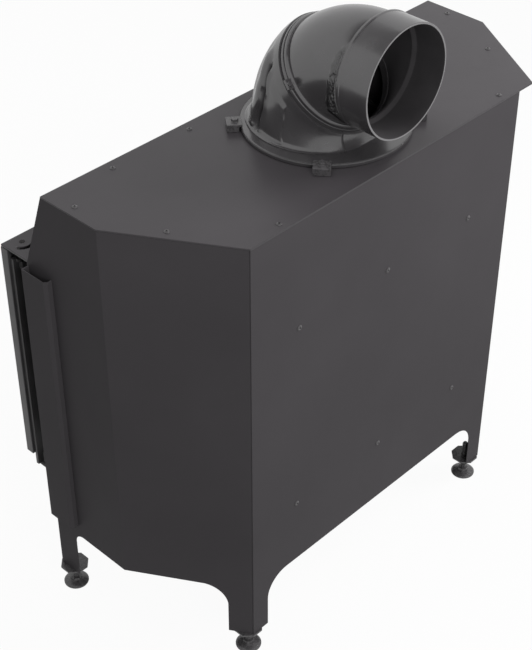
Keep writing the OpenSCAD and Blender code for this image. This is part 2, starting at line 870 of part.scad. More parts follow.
module air_box() {
    color("#302f30") placed() difference() {
        translate([0, 0, air_z]) linear_extrude(box_z - air_z) air_plan(0);
        translate([0, 0, air_z + air_t]) linear_extrude(box_z) air_plan(air_t);
        translate([0, inlet_y, air_z - cut])
            cylinder(r = inlet_d / 2 - inlet_t, h = air_t + 2 * cut);
        for (x = [-slide_x, slide_x], dx = [-30, 30])
            translate([x + dx, 0, slide_z]) rod_y(9, air_front_y - cut, air_front_y + air_t + cut);
    }
}

module air_inlet() {
    color("#8c8c8a") placed() translate([0, inlet_y, air_z - inlet_l]) difference() {
        union() {
            cylinder(r = inlet_d / 2, h = inlet_l);
            translate([0, 0, inlet_l - 2]) cylinder(r = inlet_d / 2 + 4, h = 2);
        }
        translate([0, 0, -cut]) cylinder(r = inlet_d / 2 - inlet_t, h = inlet_l + 2 * cut);
    }
}

// Rails above and below each air slide, with a lip in front of it
module slide_guides() {
    half = slide_l / 2 + slide_travel;
    y_lip = air_front_y - slide_t - 3 * gap;
    reach = slide_h / 2 + gap;
    color("#302f30") placed() for (x = [-slide_x, slide_x], s = [-1, 1])
        translate([x, 0, slide_z]) mirror([0, 0, s > 0 ? 0 : 1]) union() {
            block([-half, y_lip - 3, reach], [half, air_front_y, reach + 4]);
            block([-half, y_lip - 3, reach - guide_lip], [half, y_lip, reach + eps]);
        }
}

// Air slide: a plate with two holes, its lever and its knob
module air_slide(x) {
    y1 = air_front_y - gap;
    y0 = y1 - slide_t;
    knob_y = -side_ahead - knob_ahead;
    color("#5a5856") placed() translate([x, 0, slide_z]) union() {
        difference() {
            block([-slide_l / 2, y0, -slide_h / 2], [slide_l / 2, y1, slide_h / 2]);
            for (dx = [-30, 30]) translate([dx, 0, 0]) rod_y(9, y0 - cut, y1 + cut);
        }
        rod_y(lever_r, knob_y + 10, y0 + eps);
        translate([0, knob_y, 0]) rotate([-90, 0, 0]) rotate_extrude() polygon([
            [0, 0], [knob_r - 3, 0], [knob_r, 3], [knob_r, 11], [knob_r - 4, 15], [0, 15]]);
    }
}

module air_slide_left() {
    air_slide(-slide_x);
}

module air_slide_right() {
    air_slide(slide_x);
}

module ash_tray() {
    half = tray_w / 2;
    wall = 1.5;
    color("#6a6866") placed() difference() {
        block([-half, low_front_y - gap, tray_z], [half, ash_box_back_y - 6, tray_z + tray_h]);
        block([-half + wall, low_front_y - gap + wall, tray_z + wall],
            [half - wall, ash_box_back_y - 6 - wall, tray_z + tray_h + cut]);
    }
}

// Drawer front, standing just ahead of the lower panel, with a bar to pull it by
module ash_drawer_front() {
    half = ash_box_half + 8;
    y1 = low_front_y - gap;
    z0 = panel_z + 3;
    z1 = low_front_top - 1;
    grip_z = (z0 + z1) / 2;
    color("#454345") placed() {
        block([-half, y1 - 4, z0], [half, y1, z1]);
        for (x = [-50, 50]) translate([x, 0, grip_z]) rod_y(4, y1 - 26, y1 - 4);
        translate([-62, y1 - 26, grip_z]) rotate([0, 90, 0]) cylinder(r = 5, h = 124);
    }
}

// Upright frame between two rectangles, given by half widths and heights
module door_ring(half_out, z0_out, z1_out, half_in, z0_in, z1_in, y0, y1) {
    difference() {
        block([-half_out, y0, z0_out], [half_out, y1, z1_out]);
        block([-half_in, y0 - cut, z0_in], [half_in, y1 + cut, z1_in]);
    }
}

win_half = window_half;
win_z1 = window_z + window_h;

// Cast door front: a skin with an outer rim, a rim round the glass and a spindle boss
module door_front() {
    pane = win_half + glass_lap + 1;
    color("#3c3a3b") placed() difference() {
        union() {
            door_ring(frame_half, door_bottom, door_top, win_half, window_z, win_z1,
                door_y, door_y + door_skin);
            door_ring(frame_half, door_bottom, door_top, frame_half - door_rim,
                door_bottom + door_rim, door_top - door_rim, door_y, door_back_y);
            door_ring(pane + 6, window_z - glass_lap - 7, win_z1 + glass_lap + 7, pane,
                window_z - glass_lap - 1, win_z1 + glass_lap + 1, door_y + 1, door_back_y);
            door_ring(pane + 1, window_z - glass_lap - 2, win_z1 + glass_lap + 2, win_half,
                window_z, win_z1, door_y + 1, glass_y - glass_gasket_t);
            translate([handle_x, 0, handle_z]) rod_y(12, door_y + 1, door_back_y);
            at_door_screws() rod_y(9, -door_t - inner_t + 1, -inner_t);
        }
        translate([handle_x, 0, handle_z]) rod_y(spindle_r + fit, door_y - cut, door_back_y + cut);
        at_door_screws() rod_y(screw_hole_r, -door_screw_l - 1, 0);
    }
}

// Inner frame: clamps the glass from behind and carries the hinge bosses
module door_inner_frame() {
    color("#343233") placed() difference() {
        union() {
            door_ring(inner_half, inner_bottom, inner_top, win_half + 3, window_z - 5,
                win_z1 + 5, door_back_y, inner_back_y);
            for (z = [inner_bottom, inner_top - boss_h])
                block([hinge_x - boss_w / 2, door_back_y - boss_front, z],
                    [hinge_x + boss_w / 2, inner_back_y + boss_back, z + boss_h]);
        }
        translate([hinge_x, hinge_y, inner_bottom - cut])
            cylinder(r = pin_hole_r, h = pin_hold + 2 * cut);
        translate([hinge_x, hinge_y, inner_top - pin_hold - cut])
            cylinder(r = pin_hole_r, h = pin_hold + 2 * cut);
        translate([handle_x, 0, handle_z])
            rod_y(spindle_r + fit, door_back_y - cut, inner_back_y + cut);
        at_door_screws() rod_y(screw_hole_r, -inner_t - cut, cut);
    }
}

module at_door_screws() {
    for (x = [-1, 1], z = door_screw_z)
        translate([x * (win_half + glass_lap + 20), inner_back_y, inner_bottom + z]) children();
}

module door_screws() {
    color("#8c8a86") placed() at_door_screws() rotate([-90, 0, 0]) pan_screw(door_screw_l);
}

module door_glass() {
    half = win_half + glass_lap;
    color("#202428") placed() block([-half, glass_y, window_z - glass_lap],
        [half, door_back_y, win_z1 + glass_lap]);
}

module glass_gasket() {
    half = win_half + glass_lap;
    color("#202020") placed() door_ring(half, window_z - glass_lap, win_z1 + glass_lap,
        win_half + 2, window_z - 2, win_z1 + 2, glass_y - glass_gasket_t, glass_y);
}

// Rope seal behind the inner frame, just clear of the sealing frame
module door_seal() {
    inner = mouth_half + 7;
    color("#2a2a2a") placed() door_ring(inner + seal_w, mouth_z0 - 7 - seal_w,
        mouth_z1 + 7 + seal_w, inner, mouth_z0 - 7, mouth_z1 + 7, inner_back_y, mouth_y - gap);
}

// Leaf on top of the inner frame that carries the stop stud
module hinge_leaf() {
    color("#5a5856") placed() translate([hinge_x, hinge_y, inner_top]) difference() {
        union() {
            rotate(slot_start + 180) cylinder(r = leaf_pin_r, h = leaf_t);
            rotate(slot_start) {
                translate([0, -leaf_pin_r + 2, 0]) cube([slot_r, 2 * leaf_pin_r - 4, leaf_t]);
                translate([slot_r, 0, 0]) cylinder(r = leaf_stud_r, h = leaf_t);
                translate([slot_r, 0, 0]) cylinder(r = stud_r, h = frame_h - inner_top);
            }
        }
        translate([0, 0, -cut]) cylinder(r = pin_hole_r, h = leaf_t + 2 * cut);
    }
}

// Upper and lower hinge pins, with a washer that takes the door's weight
module hinge_pins() {
    lower = box_z - 2 * frame_t - 4;
    color("#9a9a98") placed() translate([hinge_x, hinge_y, 0]) {
        translate([0, 0, inner_top - pin_hold])
            cylinder(r = pin_r, h = pin_hold + frame_h - inner_top);
        translate([0, 0, lower]) cylinder(r = pin_r, h = inner_bottom + pin_hold - lower);
        translate([0, 0, box_z + gap]) cylinder(r = pin_r + 4, h = inner_bottom - box_z - gap);
    }
}

// Lever handle: hub, arm and a round grip that hangs down at rest
module door_handle() {
    y0 = front_y;
    hub_y = door_y - gap;
    color("#8a8886") placed() translate([handle_x, 0, handle_z]) difference() {
        union() {
            rod_y(14, hub_y - 20, hub_y);
            translate([-7, hub_y - 20, -40]) cube([14, 9, 40]);
            translate([0, y0 + 12, -lever_l]) cylinder(r = 12, h = 92);
            translate([0, y0 + 12, -lever_l]) sphere(r = 12);
            translate([0, y0 + 12, -lever_l + 92]) sphere(r = 12);
        }
        rod_y(spindle_r + fit, hub_y - 16, hub_y + cut);
    }
}

module handle_spindle() {
    color("#9a9a98") placed() translate([handle_x, 0, handle_z])
        rod_y(spindle_r, door_y - gap - 15.5, mouth_y + 8);
}

// Latch tongue at the spindle's rear end: it points up while the door can open
module latch_tongue() {
    y0 = mouth_y + 2;
    color("#9a9a98") placed() translate([handle_x, 0, handle_z]) difference() {
        union() {
            rod_y(tongue_w / 2 + 2, y0, y0 + tongue_t);
            block([-tongue_w / 2, y0, 0], [tongue_w / 2, y0 + tongue_t, tongue_l]);
        }
        rod_y(spindle_r + fit, y0 - cut, y0 + tongue_t + cut);
    }
}

// Keeper on the firebox's side: the tongue turns in behind its lip
module latch_keeper() {
    arm_y = mouth_y + 2 + tongue_t + 4;
    hook_x = -frame_half;
    lip_x = hook_x + 13;
    lip_y = inner_back_y + 2;
    z0 = handle_z - keeper_h / 2;
    color("#5a5856") placed() translate([0, 0, z0]) linear_extrude(keeper_h) polygon([
        [-box_half, arm_y], [-box_half, arm_y + keeper_t], [hook_x, arm_y + keeper_t],
        [hook_x, lip_y], [lip_x, lip_y], [lip_x, lip_y + keeper_t],
        [hook_x + keeper_t, lip_y + keeper_t], [hook_x + keeper_t, arm_y]]);
}

// Rings of points for a bent pipe wall. A ring is [middle, flow angle above +Y, radius].
pipe_sides = 64;
function ring_points(middle, angle, r) = [for (i = [0:pipe_sides - 1])
    let (a = 360 * i / pipe_sides)
    middle + r * [cos(a), -sin(angle) * sin(a), cos(angle) * sin(a)]];

// Closed wall through the rings, which run up the outside and back down the inside
module pipe_wall(rings) {
    n = pipe_sides;
    m = len(rings);
    points = [for (g = rings) each ring_points(g[0], g[1], g[2])];
    faces = [for (k = [0:m - 1], i = [0:n - 1])
        let (j = (i + 1) % n, p = k * n, q = ((k + 1) % m) * n)
        each [[p + i, q + i, q + j], [p + i, q + j, p + j]]];
    polyhedron(points, faces);
}

function mix(a, b, t) = a + (b - a) * t;

// Ring whose outermost and innermost points lie on two guide lines in the middle plane
function guide_ring(outer, inner, inset) =
    let (d = outer - inner, r = norm(d) / 2)
    [(outer + inner) / 2, atan2(-d[1], d[2]), r - inset];
function out_point(angle, r) = bend_c + (bend_r + r) * [0, -sin(angle), cos(angle)];
joint_n = sqrt(0.5) * [0, 1, 1];
joint_u = sqrt(0.5) * [0, -1, 1];

// Lower half: from a wide round foot up to the turning joint, swelling a little
lower_steps = 8;
lower_top = joint_c - ring_t * joint_n;
lower_in_0 = lower_top - lower_r0 * joint_u;
lower_in_1 = [0, foot_ring_y + foot_ring_r, flange_top];
function lower_r(t) = mix(lower_r0, lower_r1, t) + 4 * lower_bow * t * (1 - t);
function lower_outer(k) =
    let (t = k / lower_steps)
    k == 0 ? lower_top + lower_r0 * joint_u : out_point(mix(47, 90, t), lower_r(t));
function lower_inner(k) = mix(lower_in_0, lower_in_1, k / (lower_steps + 1));
function lower_rings(inset) = [for (k = [0:lower_steps])
    guide_ring(lower_outer(k), lower_inner(k), inset)];
function lower_foot(inset) = [[0, foot_ring_y, flange_top], 90, foot_ring_r - inset];

module elbow_lower() {
    outer = lower_rings(0);
    inner = lower_rings(cast_t);
    color("#3a3839") placed() pipe_wall(concat(
        [for (k = [lower_steps:-1:0]) outer[k]], [[lower_top, 45, ring_bore]],
        [for (k = [1:lower_steps]) inner[k]], [lower_foot(cast_t), lower_foot(0)]));
}

module elbow_base_flange() {
    color("#3a3839") placed() translate([0, base_y, flange_z]) difference() {
        union() {
            cylinder(r = flange_r, h = flange_t - 1.5);
            cylinder(r = flange_r - 1.5, h = flange_t);
        }
        translate([0, 0, -cut]) cylinder(r = collar_r + fit, h = flange_t + 2 * cut);
    }
}

// Dogs bolted to the top plate, each with a lip over the flange's rim
module clamp_dogs() {
    lip_z = flange_top + gap;
    rim_in = dog_r - flange_r + 4;
    color("#2c2b2c") placed() at_dogs() {
        difference() {
            union() {
                block([-rim_in, -15, lip_z], [15, 15, lip_z + 5]);
                block([flange_r - dog_r + 2, -15, case_h], [15, 15, lip_z + eps]);
            }
            translate([0, 0, case_h - cut]) cylinder(r = dog_bolt_r + fit, h = 40);
            translate([-dog_r, 0, case_h - cut])
                cylinder(r = flange_r + 1, h = lip_z - case_h + cut);
        }
        translate([0, 0, lip_z + 5]) cylinder(r = 6.5, h = 5, $fn = 6);
        translate([0, 0, under - 9]) cylinder(r = dog_bolt_r, h = lip_z + 5 + 9 - under + eps);
    }
}

// Local frame of the turning joint: Z points along its axis, up and to the rear
module on_joint() {
    translate(joint_c) rotate([-45, 0, 0]) children();
}

module joint_ring_lower() {
    color("#333132") placed() on_joint() rotate_extrude() polygon([
        [ring_bore, -ring_t], [joint_r, -ring_t], [joint_r, -3], [joint_r - 1, -gap / 2],
        [ring_bore, -gap / 2]]);
}

// Upper ring with the lip that turns in the lower ring, and the two clamps' ears
module joint_ring_upper() {
    lip = ring_bore - fit;
    color("#3f3d3e") placed() on_joint() {
        rotate_extrude() polygon([
            [lip - lip_wall, -lip_l], [lip, -lip_l], [lip, gap / 2], [joint_r - 2, gap / 2],
            [joint_r - 2, 5], [joint_r - 5, ring_t], [lip - lip_wall, ring_t]]);
        for (a = joint_lug_angles) rotate(-a) translate([joint_r - 3, 0, 0]) {
            block([-1, -9, gap / 2 + 1], [13, 9, 6]);
            translate([8, 0, 6 - eps]) cylinder(r = 5, h = 4, $fn = 6);
        }
    }
}

// Upper half: a smooth bend that ends level, in line with the spigot
upper_steps = 8;
upper_low = joint_c + ring_t * joint_n;
upper_end = bend_c + [0, 0, bend_r];
function upper_outer(k) =
    let (t = k / upper_steps)
    k == 0 ? upper_low + upper_r0 * joint_u : out_point(mix(42, 0, t), mix(upper_r0, neck_r, t));
function upper_inner(k) = mix(upper_low - upper_r0 * joint_u, upper_end - [0, 0, neck_r],
    k / upper_steps);
function upper_rings(inset) = [for (k = [0:upper_steps])
    guide_ring(upper_outer(k), upper_inner(k), inset)];

module elbow_upper() {
    outer = upper_rings(0);
    inner = upper_rings(cast_t - 1);
    color("#454344") placed() pipe_wall(concat(outer,
        [for (k = [upper_steps:-1:0]) inner[k]]));
}

// Spigot with a neck and a seam bead where it is joined to the bend
module flue_spigot() {
    y0 = bend_c[1];
    inner = spigot_r - spigot_wall;
    color("#4a4849") placed() translate([0, 0, flue_z]) rotate([-90, 0, 0]) rotate_extrude()
        polygon([[neck_r - cast_t + 1, y0], [neck_r + 3, y0], [neck_r + 3.5, spigot_y - 6],
            [spigot_r + 1.2, spigot_y - 5], [spigot_r + 1.2, spigot_y - 1],
            [spigot_r, spigot_y], [spigot_r, spigot_end], [inner, spigot_end],
            [inner, spigot_y - 2], [neck_r - cast_t + 1, y0 + 4]]);
}

top_plate();
back_panel();
side_panel_left();
side_panel_right();
cover_strip_left();
cover_strip_right();
upper_front_panel();
hot_air_grille();
lower_front_panel();
top_screws();
back_screws();
foot_plates();
foot_front_left();
foot_front_right();
foot_rear_left();
foot_rear_right();
rear_spacers();
frame_top_plate();
sealing_frame();
lower_hinge_plate();
firebox_body();
firebox_floor();
firebox_top();
flue_collar();
side_linings();
corner_linings();
lining_back();
hearth_bricks();
grate();
log_guard();
lower_baffle();
upper_baffle();
air_wash_duct();
ash_box();
air_box();
air_inlet();
slide_guides();
air_slide_left();
air_slide_right();
ash_tray();
ash_drawer_front();
door_front();
door_inner_frame();
door_glass();
glass_gasket();
door_seal();
door_screws();
hinge_leaf();
hinge_pins();
door_handle();
handle_spindle();
latch_tongue();
latch_keeper();
elbow_lower();
elbow_base_flange();
clamp_dogs();
joint_ring_lower();
joint_ring_upper();
elbow_upper();
flue_spigot();
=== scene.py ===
import json
import math

import bmesh
import bpy
from mathutils import Matrix, Vector


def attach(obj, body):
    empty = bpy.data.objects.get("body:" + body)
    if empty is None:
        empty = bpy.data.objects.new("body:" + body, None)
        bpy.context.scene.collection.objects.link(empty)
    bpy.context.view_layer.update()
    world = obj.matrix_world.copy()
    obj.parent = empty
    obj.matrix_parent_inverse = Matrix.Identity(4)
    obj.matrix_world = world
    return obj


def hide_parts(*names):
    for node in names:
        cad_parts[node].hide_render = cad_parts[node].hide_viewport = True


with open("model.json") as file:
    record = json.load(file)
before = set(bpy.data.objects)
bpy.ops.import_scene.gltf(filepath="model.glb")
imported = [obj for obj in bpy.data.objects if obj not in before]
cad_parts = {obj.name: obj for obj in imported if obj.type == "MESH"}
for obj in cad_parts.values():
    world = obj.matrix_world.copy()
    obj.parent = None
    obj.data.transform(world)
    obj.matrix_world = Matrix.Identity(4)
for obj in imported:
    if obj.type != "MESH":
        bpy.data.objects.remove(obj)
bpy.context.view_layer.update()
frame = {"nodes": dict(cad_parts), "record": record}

record = frame["record"]
body_of = {node: body for body, nodes in record["behaviour"]["bodies"].items() for node in nodes}
slot_of = {part["node"]: part["material_slot"] for part in record["subparts"]}

# The drawing is in millimetres with y = 0 at the top plate's front edge.
# The frame is in metres with y = 0 in the middle of the footprint.
MIDDLE_Y = 89.0
MILLIMETRE = 0.001
FULL_TURN = 6.2832


def placed(point):
    return Vector((point[0], point[1] - MIDDLE_Y, point[2])) * MILLIMETRE


def in_scene(name, data):
    """New object that holds the data, linked to the scene."""
    thing = bpy.data.objects.new(name, data)
    bpy.context.scene.collection.objects.link(thing)
    return thing


# Finishes

def start_finish(name, colour, roughness, metallic=0.0, specular=0.5):
    finish = bpy.data.materials.new(name)
    finish.use_nodes = True
    tree = finish.node_tree
    shader = tree.nodes["Principled BSDF"]
    shader.inputs["Base Color"].default_value = (*colour, 1.0)
    shader.inputs["Roughness"].default_value = roughness
    shader.inputs["Metallic"].default_value = metallic
    shader.inputs["Specular IOR Level"].default_value = specular
    where = tree.nodes.new("ShaderNodeTexCoord").outputs["Object"]
    return finish, tree, shader, where


def stretched(tree, where, scale):
    mapping = tree.nodes.new("ShaderNodeMapping")
    mapping.inputs["Scale"].default_value = scale
    tree.links.new(where, mapping.inputs["Vector"])
    return mapping.outputs["Vector"]


def clouds(tree, where, scale, detail=3.0, roughness=0.55):
    noise = tree.nodes.new("ShaderNodeTexNoise")
    noise.inputs["Scale"].default_value = scale
    noise.inputs["Detail"].default_value = detail
    noise.inputs["Roughness"].default_value = roughness
    tree.links.new(where, noise.inputs["Vector"])
    return noise.outputs["Fac"]


def cells(tree, where, scale, output="Color"):
    pattern = tree.nodes.new("ShaderNodeTexVoronoi")
    pattern.inputs["Scale"].default_value = scale
    tree.links.new(where, pattern.inputs["Vector"])
    return pattern.outputs[output]


def ranged(tree, value, low, high, start=0.3, end=0.7):
    spread = tree.nodes.new("ShaderNodeMapRange")
    spread.inputs["From Min"].default_value = start
    spread.inputs["From Max"].default_value = end
    spread.inputs["To Min"].default_value = low
    spread.inputs["To Max"].default_value = high
    tree.links.new(value, spread.inputs["Value"])
    return spread.outputs["Result"]


def combined(tree, kind, first, second):
    node = tree.nodes.new("ShaderNodeMath")
    node.operation = kind
    for socket, value in zip(node.inputs, (first, second)):
        if isinstance(value, (int, float)):
            socket.default_value = value
        else:
            tree.links.new(value, socket)
    return node.outputs["Value"]


def between_colours(tree, factor, first, second):
    """Mix of two colours, each given by its three parts or by a socket."""
    node = tree.nodes.new("ShaderNodeMix")
    node.data_type = "RGBA"
    for socket, colour in zip((node.inputs[6], node.inputs[7]), (first, second)):
        if isinstance(colour, tuple):
            socket.default_value = (*colour, 1.0)
        else:
            tree.links.new(colour, socket)
    tree.links.new(factor, node.inputs[0])
    return node.outputs[2]


def marked(tree, name):
    """How far a mesh carries a mark such as soot, from its points."""
    attribute = tree.nodes.new("ShaderNodeAttribute")
    attribute.attribute_name = name
    return attribute.outputs["Fac"]


def relief(tree, height, depth, strength=1.0, under=None):
    bump = tree.nodes.new("ShaderNodeBump")
    bump.inputs["Strength"].default_value = strength
    bump.inputs["Distance"].default_value = depth
    tree.links.new(height, bump.inputs["Height"])
    if under is not None:
        tree.links.new(under, bump.inputs["Normal"])
    return bump.outputs["Normal"]


def shade(colour, amount):
    return tuple(part * amount for part in colour)


def painted_sheet(name, colour, roughness, specular):
    """Satin powder coat on sheet steel: fine grain, faint clouding, a few handling marks."""
    finish, tree, shader, where = start_finish(name, colour, roughness, 0.0, specular)
    cloudy = clouds(tree, where, 3.0, 4.0)
    tree.links.new(between_colours(tree, ranged(tree, cloudy, 0, 1), shade(colour, 0.93),
                                   shade(colour, 1.07)), shader.inputs["Base Color"])
    smears = clouds(tree, stretched(tree, where, (14, 14, 2.5)), 1.0, 5.0, 0.7)
    marks = clouds(tree, stretched(tree, where, (60, 60, 9)), 1.0, 2.0)
    worn = combined(tree, "ADD", ranged(tree, smears, -0.035, 0.035),
                    ranged(tree, marks, 0.0, 0.05, 0.62, 0.75))
    tree.links.new(combined(tree, "ADD", worn, roughness), shader.inputs["Roughness"])
    dents = relief(tree, clouds(tree, where, 5.0, 1.0), 0.0006, 0.25)
    grain = relief(tree, clouds(tree, where, 900.0, 2.0), 0.00004, 0.5, dents)
    tree.links.new(grain, shader.inputs["Normal"])
    return finish


def elbow_enamel(name, colour):
    """Glossy heat-proof paint on the elbow, with soot and crinkles, and a lighter rim that is
    partly rubbed paint and partly a painted highlight.
    """
    finish, tree, shader, where = start_finish(name, colour, 0.2, 0.0, 1.0)
    flow = clouds(tree, where, 16.0, 3.0)
    sooted = marked(tree, "sooted")
    dull = combined(tree, "MULTIPLY", sooted, 0.7)
    tree.links.new(combined(tree, "ADD", ranged(tree, flow, 0.16, 0.25), dull),
                   shader.inputs["Roughness"])
    tree.links.new(ranged(tree, sooted, 1.0, 0.12, 0, 1), shader.inputs["Specular IOR Level"])
    clean = between_colours(tree, ranged(tree, flow, 0, 1), shade(colour, 0.85),
                            shade(colour, 1.15))
    # The rim's lighter colour is partly rubbed paint and partly a painted highlight
    tree.links.new(between_colours(tree, marked(tree, "rubbed"), clean, (0.085, 0.082, 0.085)),
                   shader.inputs["Base Color"])
    swell = relief(tree, clouds(tree, where, 22.0, 2.0), 0.0006, 0.35)
    crinkle = clouds(tree, stretched(tree, where, (170, 170, 80)), 1.0, 2.0, 0.6)
    crinkle = combined(tree, "MULTIPLY", crinkle, marked(tree, "crinkled"))
    tree.links.new(relief(tree, crinkle, 0.03, 1.0, swell), shader.inputs["Normal"])
    return finish


def blackened(name, colour, specular=0.55):
    """Black oxide on fasteners, feet and hinge, with brighter rubbed spots."""
    finish, tree, shader, where = start_finish(name, colour, 0.28, 0.0, specular)
    rubbed = clouds(tree, where, 160.0, 4.0, 0.6)
    tree.links.new(between_colours(tree, ranged(tree, rubbed, 0, 1, 0.45, 0.75), colour,
                                   shade(colour, 1.8)), shader.inputs["Base Color"])
    tree.links.new(ranged(tree, rubbed, 0.23, 0.34), shader.inputs["Roughness"])
    tree.links.new(relief(tree, clouds(tree, where, 700.0, 2.0), 0.00005, 0.4),
                   shader.inputs["Normal"])
    return finish


def galvanised(name, colour):
    """Hot-dip zinc with its spangle."""
    finish, tree, shader, where = start_finish(name, colour, 0.4, 1.0)
    tone = tree.nodes.new("ShaderNodeSeparateColor")
    tree.links.new(cells(tree, where, 95.0), tone.inputs["Color"])
    tree.links.new(between_colours(tree, tone.outputs["Red"], shade(colour, 0.8),
                                   shade(colour, 1.12)), shader.inputs["Base Color"])
    tree.links.new(ranged(tree, tone.outputs["Green"], 0.3, 0.5, 0, 1),
                   shader.inputs["Roughness"])
    return finish


def stove_paint(name, colour):
    """Matt heat-proof paint on welded plate."""
    finish, tree, shader, where = start_finish(name, colour, 0.78, 0.0, 0.35)
    baked = clouds(tree, where, 7.0, 5.0, 0.6)
    tree.links.new(between_colours(tree, ranged(tree, baked, 0, 1), shade(colour, 0.8),
                                   shade(colour, 1.35)), shader.inputs["Base Color"])
    tree.links.new(ranged(tree, baked, 0.7, 0.86), shader.inputs["Roughness"])
    tree.links.new(relief(tree, clouds(tree, where, 650.0, 3.0), 0.0001, 0.5),
                   shader.inputs["Normal"])
    return finish


def pressed_lining(name, colour):
    """Vermiculite board: pale flakes in a soft tan body."""
    finish, tree, shader, where = start_finish(name, colour, 0.95, 0.0, 0.2)
    flakes = tree.nodes.new("ShaderNodeSeparateColor")
    tree.links.new(cells(tree, where, 330.0), flakes.inputs["Color"])
    tinted = combined(tree, "ADD", ranged(tree, flakes.outputs["Red"], 0, 0.55, 0.2, 1.0),
                      ranged(tree, clouds(tree, where, 12.0, 5.0), 0, 0.45))
    tree.links.new(between_colours(tree, tinted, shade(colour, 0.72), shade(colour, 1.22)),
                   shader.inputs["Base Color"])
    tree.links.new(relief(tree, cells(tree, where, 330.0, "Distance"), 0.0007, 0.5),
                   shader.inputs["Normal"])
    return finish


def fireclay(name, colour):
    """Fireclay brick: cloudy body with pits."""
    finish, tree, shader, where = start_finish(name, colour, 0.93, 0.0, 0.2)
    body = clouds(tree, where, 30.0, 6.0, 0.65)
    tree.links.new(between_colours(tree, ranged(tree, body, 0, 1), shade(colour, 0.7),
                                   shade(colour, 1.25)), shader.inputs["Base Color"])
    pits = ranged(tree, clouds(tree, where, 260.0, 2.0), 0, 1, 0.35, 0.5)
    tree.links.new(relief(tree, pits, 0.0009, 0.6), shader.inputs["Normal"])
    return finish


def cast_iron(name, colour, roughness, specular, sand):
    """Sand-cast iron: grainy skin over a slightly uneven face."""
    finish, tree, shader, where = start_finish(name, colour, roughness, 0.0, specular)
    uneven = clouds(tree, where, 18.0, 4.0)
    tree.links.new(between_colours(tree, ranged(tree, uneven, 0, 1), shade(colour, 0.82),
                                   shade(colour, 1.25)), shader.inputs["Base Color"])
    tree.links.new(ranged(tree, uneven, roughness - 0.06, roughness + 0.08),
                   shader.inputs["Roughness"])
    lumps = relief(tree, uneven, 0.0005, 0.3)
    tree.links.new(relief(tree, clouds(tree, where, 620.0, 3.0), sand, 0.6, lumps),
                   shader.inputs["Normal"])
    return finish


def brushed(name, colour):
    """Bare steel with the lines of the grinding belt."""
    finish, tree, shader, where = start_finish(name, colour, 0.33, 1.0)
    lines = clouds(tree, stretched(tree, where, (30, 900, 900)), 1.0, 3.0, 0.7)
    tree.links.new(ranged(tree, lines, 0.24, 0.46), shader.inputs["Roughness"])
    stains = clouds(tree, where, 25.0, 4.0)
    tree.links.new(between_colours(tree, ranged(tree, stains, 0, 1), shade(colour, 0.82),
                                   shade(colour, 1.08)), shader.inputs["Base Color"])
    tree.links.new(relief(tree, lines, 0.00003, 0.5), shader.inputs["Normal"])
    return finish


def stove_glass(name):
    """Ceramic glass, slightly smoked, with a breath of soot."""
    finish, tree, shader, where = start_finish(name, (0.62, 0.60, 0.57), 0.03, 0.0)
    shader.inputs["Transmission Weight"].default_value = 0.94
    shader.inputs["IOR"].default_value = 1.5
    haze = clouds(tree, where, 9.0, 5.0, 0.65)
    tree.links.new(ranged(tree, haze, 0.02, 0.14, 0.45, 0.75), shader.inputs["Roughness"])
    tree.links.new(between_colours(tree, ranged(tree, haze, 0, 1, 0.35, 0.75),
                                   (0.66, 0.64, 0.61), (0.48, 0.45, 0.41)),
                   shader.inputs["Base Color"])
    return finish


def glass_fibre_rope(name, colour):
    """Black braided glass-fibre rope."""
    finish, tree, shader, where = start_finish(name, colour, 0.95, 0.0, 0.25)
    shader.inputs["Sheen Weight"].default_value = 0.35
    strands = tree.nodes.new("ShaderNodeTexWave")
    strands.wave_type = "BANDS"
    strands.bands_direction = "DIAGONAL"
    strands.inputs["Scale"].default_value = 170.0
    strands.inputs["Distortion"].default_value = 2.0
    tree.links.new(where, strands.inputs["Vector"])
    tree.links.new(between_colours(tree, strands.outputs["Fac"], shade(colour, 0.6),
                                   shade(colour, 1.5)), shader.inputs["Base Color"])
    tree.links.new(relief(tree, strands.outputs["Fac"], 0.0006, 0.8), shader.inputs["Normal"])
    return finish


finishes = {
    "top_sheet": painted_sheet("top plate paint", (0.031, 0.0285, 0.031), 0.33, 0.24),
    "casing": painted_sheet("casing paint", (0.041, 0.0385, 0.041), 0.42, 0.02),
    "black_steel": blackened("blackened steel", (0.036, 0.0345, 0.036)),
    "zinc": galvanised("galvanised steel", (0.55, 0.55, 0.53)),
    "firebox_steel": stove_paint("firebox paint", (0.028, 0.027, 0.028)),
    "lining": pressed_lining("vermiculite board", (0.50, 0.41, 0.28)),
    "brick": fireclay("fireclay", (0.42, 0.33, 0.23)),
    "iron_plain": cast_iron("grate iron", (0.045, 0.042, 0.040), 0.68, 0.4, 0.0002),
    "iron_black": cast_iron("door iron", (0.030, 0.029, 0.030), 0.46, 0.5, 0.00008),
    "iron_elbow": elbow_enamel("elbow enamel", (0.030, 0.0285, 0.030)),
    "bare_steel": brushed("brushed steel", (0.50, 0.49, 0.47)),
    "glass": stove_glass("stove glass"),
    "rope": glass_fibre_rope("fibre rope", (0.045, 0.045, 0.046)),
}

# The steel of the hinge, its stop stud and the latch is darkened by oil and heat
oiled = blackened("oiled steel", (0.012, 0.011, 0.011), 0.08)
finish_of = {node: finishes[slot] for node, slot in slot_of.items()}
finish_of.update({node: oiled for node in ("hinge_pins", "hinge_leaf", "latch_tongue")})

for node, piece in frame["nodes"].items():
    if piece.material_slots:
        for socket in piece.material_slots:
            socket.material = finish_of[node]
    else:
        piece.data.materials.append(finish_of[node])


# Making pieces

def settle(name, mesh, node, replaces=()):
    """Puts a finished mesh on its body, with the finish of the node it belongs to."""
    piece = in_scene(name, mesh)
    if not mesh.materials:
        mesh.materials.append(finish_of[node])
    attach(piece, body_of[node])
    if replaces:
        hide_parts(*replaces)
    return piece


